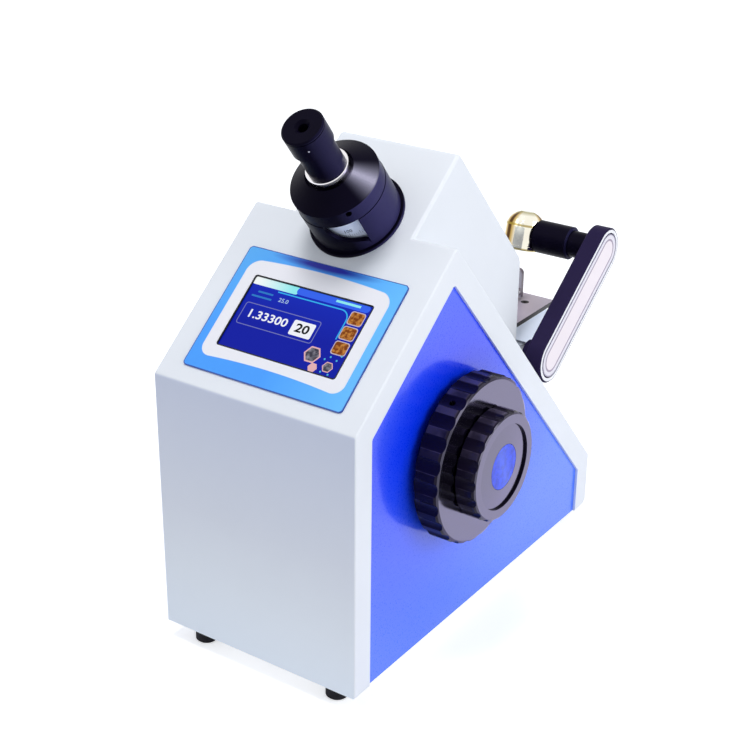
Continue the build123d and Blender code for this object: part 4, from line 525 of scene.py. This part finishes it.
# %% Knob faces and cap
face = facing(tree, "X")
overlay(knob_gloss, face, opaque("72707F"))
# Painted shade: the face is darkened where it turns away towards its scalloped border.
square_on = facing(tree, "X", 0.95, 0.999)
painted_shade_turning_away = calc(tree, "MAXIMUM", 0.0, calc(tree, "SUBTRACT", face, square_on))
overlay(knob_gloss, painted_shade_turning_away, opaque("403E4A"))
overlay(knob_gloss, face, 1.0, "Metallic")
overlay(knob_gloss, face, 0.13, "Roughness")
cap_blue = finish("cap_blue", paint("2046F0"), 0.24, cloud=0.32, cloud_size=0.005,
                  grain=0.0008, relief=0.000004, coat=0.10,
                  more={"Specular IOR Level": 0.2})
tree = cap_blue.node_tree
# A pale streak across the blue cap is a painted highlight.
cap_x, _, _ = local_axes(tree, knob_place @ Matrix.Rotation(math.radians(20.0), 4, "Z"))
cap_highlight = spread(tree, calc(tree, "ABSOLUTE", cap_x), 1.0, 0.0, 0.0005, 0.009)
overlay(cap_blue, calc(tree, "MULTIPLY", 0.16, cap_highlight), opaque("8FAEFF"))
print("knob faces and cap ready")

# %% [markdown]
# Bright metals differ mostly in colour and in how they were cut. Turned parts have a fine
# grain, castings a coarse one, and brass is yellower than steel.

# %% Turned metals
chrome = finish("chrome", (0.90, 0.88, 0.90), 0.16, metallic=1.0, cloud=0.02,
                cloud_size=0.01, gloss=0.03, grain=0.0007, relief=0.000003)
steel = finish("steel", (0.58, 0.58, 0.60), 0.26, metallic=1.0, cloud=0.05,
               cloud_size=0.01, grain=0.0005, relief=0.000006, stretch=(1.0, 6.0, 6.0))
brass = finish("brass", (0.78, 0.56, 0.24), 0.24, metallic=1.0, cloud=0.06,
               cloud_size=0.008, grain=0.0006, relief=0.000006)
print("turned metals ready")

# %% [markdown]
# The lamp barrel is polished gold metal whose colour is set nearly white as a painted
# highlight, with gold and brown bands along it and a duller olive end, which are painted
# reflections of several lamps on a turned part. Two thin gold rings run round it. The bands
# are a sine of the angle round the barrel, the rings are masks along it.

# %% Polished gold
polished_gold = finish("polished_gold", paint("FDF8E8"), 0.10, metallic=1.0, cloud=0.04,
                       cloud_size=0.01, gloss=0.03, grain=0.0008, relief=0.000002)
tree = polished_gold.node_tree
gold_x, gold_y, gold_z = local_axes(tree, barrel_place)
# The gold and brown bands and the duller olive end are painted reflections.
around = calc(tree, "ARCTAN2", gold_y, gold_x)
reflection_band = calc(tree, "SINE", calc(tree, "ADD", calc(tree, "MULTIPLY", around, 3.0), 1.31))
overlay(polished_gold, spread(tree, reflection_band, 0.0, 0.90, 0.25, 0.80), opaque("C6A24A"))
overlay(polished_gold, spread(tree, reflection_band, 0.0, 0.95, 0.84, 0.97), opaque("4A2A0C"))
overlay(polished_gold, spread(tree, gold_z, 0.0, 0.75, 0.0145, 0.0168), opaque("9B9350"))
for rise, fall in (((-0.0134, -0.0130), (-0.0115, -0.0109)),
                   ((0.0058, 0.0062), (0.0075, 0.0081))):
    ring = calc(tree, "MULTIPLY", 0.8, within(tree, gold_z, rise, fall))
    overlay(polished_gold, ring, opaque("A8903A"))
print("polished gold ready")

# %% [markdown]
# The prism stage has a brushed plate that is pale on top and dark along its edge, on a painted
# cast block. The lid's two broad faces are ground paler than its sides. A mask of the piece's
# own normal tells one face from another, so each still has a single material.

# %% Castings and stage
cast_metal = finish("cast_metal", (0.60, 0.64, 0.72), 0.44, metallic=0.25, cloud=0.05,
                    cloud_size=0.02, grain=0.0008, relief=0.00004)
block_paint = finish("block_paint", paint("E2ECFC"), 0.38, metallic=0.55, cloud=0.03,
                     grain=0.0009, relief=0.00003, coat=0.1)
stage_metal = finish("stage_metal", paint("17131C"), 0.34, metallic=0.2, cloud=0.05,
                     cloud_size=0.015, grain=0.0006, relief=0.00001,
                     stretch=(1.0, 9.0, 9.0))
top_face = facing(stage_metal.node_tree, "Z")
overlay(stage_metal, top_face, opaque("C6BAC8"))
lid_metal = finish("lid_metal", paint("7E747C"), 0.36, metallic=0.3, cloud=0.05,
                   cloud_size=0.012, grain=0.0006, relief=0.00001)
tree = lid_metal.node_tree
broad_faces = calc(tree, "MAXIMUM", facing(tree, "Y"), facing(tree, "Y", -0.7, -0.9))
overlay(lid_metal, broad_faces, opaque("D5D3DC"))
print("castings and stage ready")

# %% [markdown]
# Prisms and lenses are clear: a Principled finish that lets light through and bends it by its
# index, 1.52 for crown glass. The eye lens has a violet coat. The boards and the lamp's diode
# lie inside and get plain finishes, so that the instrument can be opened.

# %% Glass and mirror
glass = finish("optical_glass", (0.93, 0.96, 1.0), 0.02, cloud=0.01, gloss=0.01,
               relief=0.0, more={"Transmission Weight": 1.0, "IOR": 1.52})
coated_lens = finish("coated_lens", (0.55, 0.50, 0.72), 0.04, cloud=0.02, gloss=0.01,
                     relief=0.0, coat=1.0, more={"Transmission Weight": 0.9, "IOR": 1.7})
mirror = finish("front_mirror", (0.93, 0.94, 0.96), 0.03, metallic=1.0, cloud=0.01,
                gloss=0.01, relief=0.0)
print("glass and mirror ready")

# %% Boards, lamp and drum
board_green = finish("board_green", (0.02, 0.16, 0.07), 0.38, cloud=0.12,
                     cloud_size=0.006, grain=0.0012, relief=0.00003)
supply_metal = finish("supply_metal", (0.66, 0.68, 0.70), 0.36, metallic=0.9, cloud=0.10,
                      cloud_size=0.01, grain=0.003, relief=0.00001)
led_yellow = finish("led_yellow", paint("E8D25A"), 0.5, cloud=0.05, cloud_size=0.002,
                    grain=0.0003, relief=0.00001)
drum_white = finish("drum_white", paint("E4ECFF"), 0.45, cloud=0.03, cloud_size=0.01,
                    grain=0.0005, relief=0.000006)
print("boards, lamp and drum ready")

# %% [markdown]
# The bezel is a printed film: blue, with a deep blue streak in its upper band, a dark line
# along its edge and a pale field round the window whose upper and lower edges are arched.
# All of it is drawn with masks in the frame of the sloping front.

# %% Bezel print
WINDOW_MIDDLE = 0.0608
STREAK_UP, STREAK_HALF = 0.1070, (0.046, 0.0046)
bezel_print = finish("bezel_print", paint("46A0FF"), 0.40, cloud=0.03, cloud_size=0.03,
                     gloss=0.03, grain=0.0010, relief=0.000004,
                     more={"Specular IOR Level": 0.3})
tree = bezel_print.node_tree
film_x, film_y, _ = local_axes(tree, slope_place)
overlay(bezel_print, spread(tree, film_x, 0.0, 0.8, 0.0, 0.065), opaque("6CC6FF"))
corner = calc(tree, "ADD", calc(tree, "MULTIPLY", film_x, -1.0), film_y)
overlay(bezel_print, spread(tree, corner, 0.0, 0.7, 0.10, 0.17), opaque("5FB6F2"))
long_way = calc(tree, "DIVIDE", film_x, STREAK_HALF[0])
short_way = calc(tree, "DIVIDE", calc(tree, "SUBTRACT", film_y, STREAK_UP), STREAK_HALF[1])
deep_streak = spread(tree, from_axis(tree, long_way, short_way), 1.0, 0.0, 0.35, 1.0)
overlay(bezel_print, deep_streak, opaque("0A1FA8"))
inside_edge = rounded_box(tree, film_x, film_y, (0.0, WINDOW_MIDDLE), (0.0644, 0.0479), 0.0026)
overlay(bezel_print, calc(tree, "SUBTRACT", 1.0, inside_edge), opaque("2C4FA8"))
arch = calc(tree, "MULTIPLY", 0.9, calc(tree, "POWER", film_x, 2.0))
arched_y = calc(tree, "ADD", film_y, arch)
field = rounded_box(tree, film_x, arched_y, (0.0, 0.0638), (0.058, 0.0386), 0.009)
overlay(bezel_print, field, opaque("F0EFF4"))
print("bezel print ready")

# %% [markdown]
# Each finish goes to the nodes that are made of it. A node keeps its mesh and only its
# material slots change. Nodes that need a pattern of their own get it further down.

# %% Give every node its finish
WEARS = {
    shell_paint: ["main_shell"],
    panel_paint: ["side_panel_left", "side_panel_right"],
    bezel_print: ["display_bezel"],
    cap_blue: ["fine_knob_cap"],
    zinc: ["base_plate"],
    rubber: ["rubber_feet"],
    screw_steel: ["case_screws"],
    black_screw: ["stage_screws"],
    anodised_black: ["compensator_sleeve", "handwheel", "eyepiece_tube", "diopter_ring",
                     "lamp_tube", "compensator_cup", "angle_encoder", "mirror_holder"],
    inside_black: ["telescope_tube", "upper_prism_cell", "lower_prism_cell"],
    knob_gloss: ["coarse_knob", "fine_knob"],
    arm_black: ["lamp_arm"],
    moulded_black: ["power_inlet", "switch_housing", "switch_rocker"],
    chrome: ["lock_ring"],
    polished_gold: ["lamp_barrel"],
    steel: ["coarse_shaft", "fine_shaft", "hinge_pin", "arm_pivot", "temperature_probe",
            "serial_port"],
    brass: ["drive_pinion", "sector_gear", "knob_bush", "compensator_pinion",
            "hose_nozzles"],
    cast_metal: ["optical_frame"],
    lid_metal: ["prism_lid"],
    block_paint: ["prism_block"],
    stage_metal: ["stage_plate"],
    glass: ["measuring_prism", "lid_prism", "upper_prism", "lower_prism",
            "objective_lens", "reticle", "lamp_lens"],
    coated_lens: ["eye_lens"],
    mirror: ["scan_mirror"],
    board_green: ["control_board"],
    supply_metal: ["power_supply", "lcd_module"],
    led_yellow: ["led_module"],
    drum_white: ["scale_drum"],
}


def wear(node, material):
    """Give a CAD node this material all over."""
    slots = NODES[node].material_slots
    for slot in slots:
        slot.material = material
    if not slots:
        NODES[node].data.materials.append(material)


for material, names in WEARS.items():
    for name in names:
        wear(name, material)
dressed = {name for names in WEARS.values() for name in names}
print("without a finish yet:", sorted(set(NODES) - dressed))

# %% [markdown]
# ## Small pieces
# A few helpers shape all of the small pieces. `tile` makes a flat plate with rounded corners,
# or only its rim, `disc` a round or many-sided plate, and `figures` a number. Each leaves its
# piece active at the origin. `settle` then gives it its place in the instrument, with that
# place written into its mesh, and makes it ride with one of the CAD bodies. `repeat` copies
# one shaped piece to many places and joins the copies.

# %% Settle a piece
def settle(name, place, body, material):
    """Name the active piece, put it in its place and let it ride with a body."""
    piece = bpy.context.object
    piece.name = name
    piece.matrix_world = place
    select_only(piece)
    bpy.ops.object.transform_apply(location=True, rotation=True, scale=True)
    piece.data.materials.clear()
    piece.data.materials.append(material)
    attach(piece, body)


print("settle ready")

# %% Flat plates
def tile(size, thick, radius=0.0, rim=None, corner_steps=5, cut=None):
    """A plate in the XY plane, its underside at zero; rim keeps only a border that wide."""
    select_only()
    bpy.ops.mesh.primitive_plane_add(size=1.0, location=(0, 0, 0))
    bpy.context.object.scale = (size[0], size[1], 1.0)
    bpy.ops.object.transform_apply(location=False, rotation=False, scale=True)
    bpy.ops.object.mode_set(mode="EDIT")
    bpy.ops.mesh.select_all(action="SELECT")
    if radius:
        bpy.ops.mesh.bevel(offset=radius, segments=corner_steps, affect="VERTICES")
        bpy.ops.mesh.select_all(action="SELECT")
    if rim:
        bpy.ops.mesh.inset(thickness=rim)
        bpy.ops.mesh.delete(type="FACE")
        bpy.ops.mesh.select_all(action="SELECT")
    for point, normal in cut or ():
        bpy.ops.mesh.bisect(plane_co=point, plane_no=normal, clear_outer=True)
        bpy.ops.mesh.select_all(action="SELECT")
    bpy.ops.mesh.extrude_region_move(TRANSFORM_OT_translate={"value": (0.0, 0.0, thick)})
    bpy.ops.mesh.select_all(action="SELECT")
    bpy.ops.mesh.normals_make_consistent(inside=False)
    bpy.ops.object.mode_set(mode="OBJECT")


def disc(radius, thick, corners, turn=0.0):
    """A round or many-sided plate in the XY plane, its underside at zero."""
    select_only()
    bpy.ops.mesh.primitive_circle_add(vertices=corners, radius=radius, fill_type="NGON",
                                      rotation=(0.0, 0.0, turn))
    bpy.ops.object.transform_apply(location=False, rotation=True, scale=False)
    bpy.ops.object.mode_set(mode="EDIT")
    bpy.ops.mesh.select_all(action="SELECT")
    bpy.ops.mesh.extrude_region_move(TRANSFORM_OT_translate={"value": (0.0, 0.0, thick)})
    bpy.ops.mesh.select_all(action="SELECT")
    bpy.ops.mesh.normals_make_consistent(inside=False)
    bpy.ops.object.mode_set(mode="OBJECT")


print("flat plates ready")

# %% Figures and copies
CAPITAL_SHARE = 0.7


def figures(text, height, weight, thick, wide=1.0):
    """Plain numbers as a thin mesh, centred on the origin; wide stretches them sideways."""
    select_only()
    bpy.ops.object.text_add(location=(0, 0, 0))
    label = bpy.context.object
    label.data.body = text
    label.data.size = height / CAPITAL_SHARE
    label.data.align_x = "CENTER"
    label.data.align_y = "CENTER"
    label.data.offset = weight
    label.data.extrude = thick / 2
    label.data.resolution_u = 3
    bpy.ops.object.convert(target="MESH")
    bpy.ops.object.mode_set(mode="EDIT")
    bpy.ops.mesh.select_all(action="SELECT")
    bpy.ops.mesh.remove_doubles(threshold=0.000001)
    bpy.ops.mesh.normals_make_consistent(inside=False)
    bpy.ops.transform.translate(value=(0.0, 0.0, thick / 2))
    bpy.ops.transform.resize(value=(wide, 1.0, 1.0), center_override=(0.0, 0.0, 0.0))
    bpy.ops.object.mode_set(mode="OBJECT")


def repeat(places):
    """Copy the active piece to every place, join the copies and leave the result active."""
    first = bpy.context.object
    copies = []
    for place in places:
        copy = first.copy()
        copy.data = first.data.copy()
        bpy.context.scene.collection.objects.link(copy)
        copy.matrix_world = place
        copies.append(copy)
    bpy.data.objects.remove(first)
    select_only(*copies)
    bpy.ops.object.transform_apply(location=True, rotation=True, scale=True)
    bpy.ops.object.join()


print("figures and copies ready")

# %% [markdown]
# ## The picture on the display
# The screen glows by itself, so its colours are emitted and hardly reflect. The picture is
# laid on the glass in thin layers: a bar and a curved line at the top, a frame with a reading,
# a white field, three brown buttons, three hexagons and a few dots. The figures are plain
# numbers, with short bars beside them. Places are given as shares of the window, from its
# lower left.

# %% Glowing colours
BODY_SHARE = 0.14
FULL_GLOW = 0.80


def glow(name, code, strength=1.0):
    """A colour that shines by itself, with a fine shimmer, over a dim body of that colour."""
    material = finish(name, tuple(BODY_SHARE * part for part in paint(code)), 0.35, cloud=0.02,
                      cloud_size=0.01, grain=0.0004, relief=0.0,
                      more={"Specular IOR Level": 0.08, "Emission Color": opaque(code)})
    tree = material.node_tree
    glowing = strength * FULL_GLOW
    shimmer = spread(tree, noise(tree, 0.0003), 0.97 * glowing, 1.03 * glowing)
    tree.links.new(shimmer, tree.nodes["Principled BSDF"].inputs["Emission Strength"])
    return material


def glow_ramp(material, factor, code):
    """Let the shining colour run over to another one."""
    tree = material.node_tree
    socket = tree.nodes["Principled BSDF"].inputs["Emission Color"]
    first = tuple(socket.default_value)
    tree.links.new(blend_colours(tree, factor, first, opaque(code)), socket)


print("glow ready")

# %% Colours of screen, bars and figures
screen_blue = glow("screen_blue", "0016A4")
tree = screen_blue.node_tree
_, screen_y, _ = local_axes(tree, slope_place)
glow_ramp(screen_blue, spread(tree, screen_y, 0.0, 1.0, 0.055, 0.095), "0A2CC4")
bar_pale = glow("bar_pale", "FAFFFF")
tree = bar_pale.node_tree
bar_x, _, _ = local_axes(tree, slope_place)
glow_ramp(bar_pale, spread(tree, bar_x, 0.0, 1.0, -0.045, -0.016), "7DF0F4")
bar_blue = glow("bar_blue", "3566F4")
line_cyan = glow("line_cyan", "35B4F4")
frame_grey = glow("frame_grey", "7277B8")
figure_white = glow("figure_white", "F6F8FF")
figure_black = glow("figure_black", "05060C")
small_cyan = glow("small_cyan", "58C8F0", 0.8)
note_pale = glow("note_pale", "B4D2F6", 0.9)
note_blue = glow("note_blue", "2F86D8", 0.8)
print("bar and figure colours ready")

# %% Colours of buttons and hexagons
button_brown = glow("button_brown", "7E3C08")
tree = button_brown.node_tree
glow_ramp(button_brown, spread(tree, noise(tree, 0.0022, 3.0), 0.0, 1.0, 0.42, 0.62), "D08A3C")
button_edge = glow("button_edge", "C9B9C4")
hexagon_edge = glow("hexagon_edge", "E8B4B8")
hexagon_dark = glow("hexagon_dark", "3B3A48")
tree = hexagon_dark.node_tree
glow_ramp(hexagon_dark, spread(tree, noise(tree, 0.0030, 3.0), 0.0, 1.0, 0.40, 0.65), "9C9AA8")
wear("touch_screen", screen_blue)
print("display colours ready")

# %% [markdown]
# Two shares of the window and a layer give a place on it. Each layer lies 0.06 mm above the one
# below, so that flat tiles never share a plane and flicker.

# %% Places on the display
SCREEN = (0.0975, 0.057)
LAYER = 0.00006


def on_screen(u, v, layer=1):
    """A place on the window, by its shares of the width and height and its layer."""
    spot = ((u - 0.5) * SCREEN[0], WINDOW_MIDDLE + (v - 0.5) * SCREEN[1], (layer - 1) * LAYER)
    return slope_place @ Matrix.Translation(spot)


def show(name, size, centre, material, layer=1, **options):
    """Lay one tile on the window; size and centre are shares of it."""
    tile((size[0] * SCREEN[0], size[1] * SCREEN[1]), thick=LAYER, **options)
    settle(name, on_screen(*centre, layer), "housing", material)


print("window", SCREEN, "m")

# %% Bars and frame
show("display_bar_pale", (0.40, 0.105), (0.195, 0.935), bar_pale, radius=0.0028)
show("display_bar_blue", (0.60, 0.095), (0.675, 0.940), bar_blue, layer=2, radius=0.0026)
show("display_line", (1.00, 0.66), (0.350, 0.535), line_cyan, radius=0.0075, rim=0.0009,
     corner_steps=8, cut=[((-0.0110, 0, 0), (-1, 0, 0)), ((0, -0.0030, 0), (0, -1, 0))])
show("display_frame", (0.64, 0.30), (0.365, 0.490), frame_grey, radius=0.0020, rim=0.0006)
show("display_field", (0.178, 0.198), (0.568, 0.484), figure_white, radius=0.0012)
print("bars and frame laid")

# %% Figures and notes
figures("1.33300", 0.0060, 0.00014, LAYER, 1.22)
settle("display_reading", on_screen(0.266, 0.500), "housing", figure_white)
figures("20", 0.0062, 0.00022, LAYER, 1.25)
settle("display_unit", on_screen(0.568, 0.484, 2), "housing", figure_black)
figures("25.0", 0.0030, 0.00004, LAYER, 1.1)
settle("display_second", on_screen(0.315, 0.762), "housing", note_pale)
for row, (u, v, width) in enumerate(((0.150, 0.800, 0.13), (0.135, 0.735, 0.17))):
    show(f"display_note_{row}", (width, 0.024), (u, v), note_blue, radius=0.0005)
show("display_note_top", (0.20, 0.030), (0.80, 0.945), bar_pale, layer=3)
print("figures and notes laid")

# %% Buttons and hexagons
for row, v in enumerate((0.790, 0.590, 0.390)):
    show(f"display_button_edge_{row}", (0.118, 0.178), (0.912, v), button_edge, radius=0.0020)
    show(f"display_button_{row}", (0.105, 0.155), (0.912, v), button_brown, layer=2,
         radius=0.0018)
HEXAGON = {"thick": LAYER, "corners": 6, "turn": math.radians(30)}
CORE_SHARE = 0.82
for name, u, v, radius in (("large", 0.740, 0.225, 0.0066), ("small", 0.895, 0.130, 0.0042)):
    disc(radius, **HEXAGON)
    settle(f"display_hexagon_{name}", on_screen(u, v), "housing", hexagon_edge)
    disc(CORE_SHARE * radius, **HEXAGON)
    settle(f"display_hexagon_{name}_core", on_screen(u, v, 2), "housing", hexagon_dark)
disc(0.0036, **HEXAGON)
settle("display_hexagon_low", on_screen(0.790, 0.075), "housing", hexagon_edge)
disc(0.0007, LAYER, 12)
repeat([on_screen(u, v, 2) for u, v in ((0.845, 0.215), (0.862, 0.055), (0.925, 0.045),
                                        (0.935, 0.235), (0.955, 0.300), (0.880, 0.260))])
settle("display_dots", Matrix(), "housing", small_cyan)
print("buttons and hexagons laid")

# %% [markdown]
# The window lies in a thin black rim that hides the edge of the glass. It is a tile again, of
# which only the border is kept.

# %% Window rim
rim_black = finish("rim_black", (0.004, 0.004, 0.008), 0.35, cloud=0.1, grain=0.0006,
                   relief=0.000004, more={"Specular IOR Level": 0.2})
tile((SCREEN[0] - 0.0002, SCREEN[1] - 0.0002), radius=0.0020, thick=0.0009, rim=0.0009)
settle("window_rim", on_screen(0.5, 0.5), "housing", rim_black)
print("window rim ready")

# %% [markdown]
# ## Arm face
# The pale inlay of the lamp arm has the form of a long slot. Every point of it is a certain
# distance from the line between the two ends, and that distance alone draws the fine mauve
# lines and the pinkish middle.

# %% Arm finishes
trim_white = finish("trim_white", paint("F2F2F6"), 0.32, cloud=0.02, grain=0.0007,
                    relief=0.000006, coat=0.2)
inlay_print = finish("inlay_print", paint("F1E6EB"), 0.34, cloud=0.02, grain=0.0008,
                     relief=0.000006, coat=0.15)
tree = inlay_print.node_tree
arm_x, arm_y, _ = local_axes(tree, arm_place)
along = calc(tree, "SUBTRACT", arm_x,
             calc(tree, "MINIMUM", calc(tree, "MAXIMUM", arm_x, 0.0), ARM_LENGTH))
reach = from_axis(tree, along, arm_y)
LINE_SOFTNESS = 0.0002
for start, code in ((0.0084, "9C8CA2"), (0.0100, "E4E0E9"), (0.0128, "A9A2B8")):
    outside = spread(tree, reach, 0.0, 1.0, start - LINE_SOFTNESS, start + LINE_SOFTNESS)
    overlay(inlay_print, outside, opaque(code))
wear("arm_trim", trim_white)
wear("arm_inlay", inlay_print)
print("arm finishes ready")

# %% [markdown]
# ## Scales and marks
# A ring of fine lines with plain numbers runs round the drum behind the eyepiece's window.
# It turns with the handwheel. The eyepiece ring has one white index dot.

# %% Drum scale
scale_ink = finish("scale_ink", paint("5A6678"), 0.5, cloud=0.05, grain=0.0005, relief=0.0)
DRUM_RADIUS = 0.0265
LINES, LONG_LINES, NUMBERS = 120, 24, 12
INK = 0.00008


def on_drum(turn, height):
    """A place on the drum's wall, its Z pointing outwards and its Y along the axis."""
    return (sight_place @ Matrix.Rotation(math.radians(turn), 4, "Z")
            @ Matrix.Translation((DRUM_RADIUS, 0.0, height)) @ out_right)


tile((0.00018, 0.0022), thick=INK)
repeat([on_drum(360 * line / LINES, 0.0130) for line in range(LINES)])
settle("drum_lines", Matrix(), "handwheel", scale_ink)
tile((0.00024, 0.0036), thick=INK)
repeat([on_drum(360 * line / LONG_LINES, 0.0137) for line in range(LONG_LINES)])
settle("drum_long_lines", Matrix(), "handwheel", scale_ink)
for number in range(NUMBERS):
    figures(str(10 * number), 0.0028, 0.00004, INK)
    settle(f"drum_number_{number}", on_drum(360 * number / NUMBERS, 0.0180), "handwheel",
           scale_ink)
print("drum scale ready")

# %% Index dot
index_white = finish("index_white", paint("D9D9E6"), 0.5, cloud=0.04, grain=0.0005,
                     relief=0.000003)
dot_place = (sight_place @ Matrix.Rotation(math.radians(-55.0), 4, "Z")
             @ Matrix.Translation((0.0146, 0.0, 0.0875)) @ out_right)
disc(0.00055, INK, 20)
settle("index_dot", dot_place, "diopter_ring", index_white)
print("index dot ready")

# %% [markdown]
# ## Finish
# The script sets Blender's Standard view transform and hands the scene over.

# %% Finish
bpy.context.scene.view_settings.view_transform = "Standard"
bpy.context.view_layer.update()
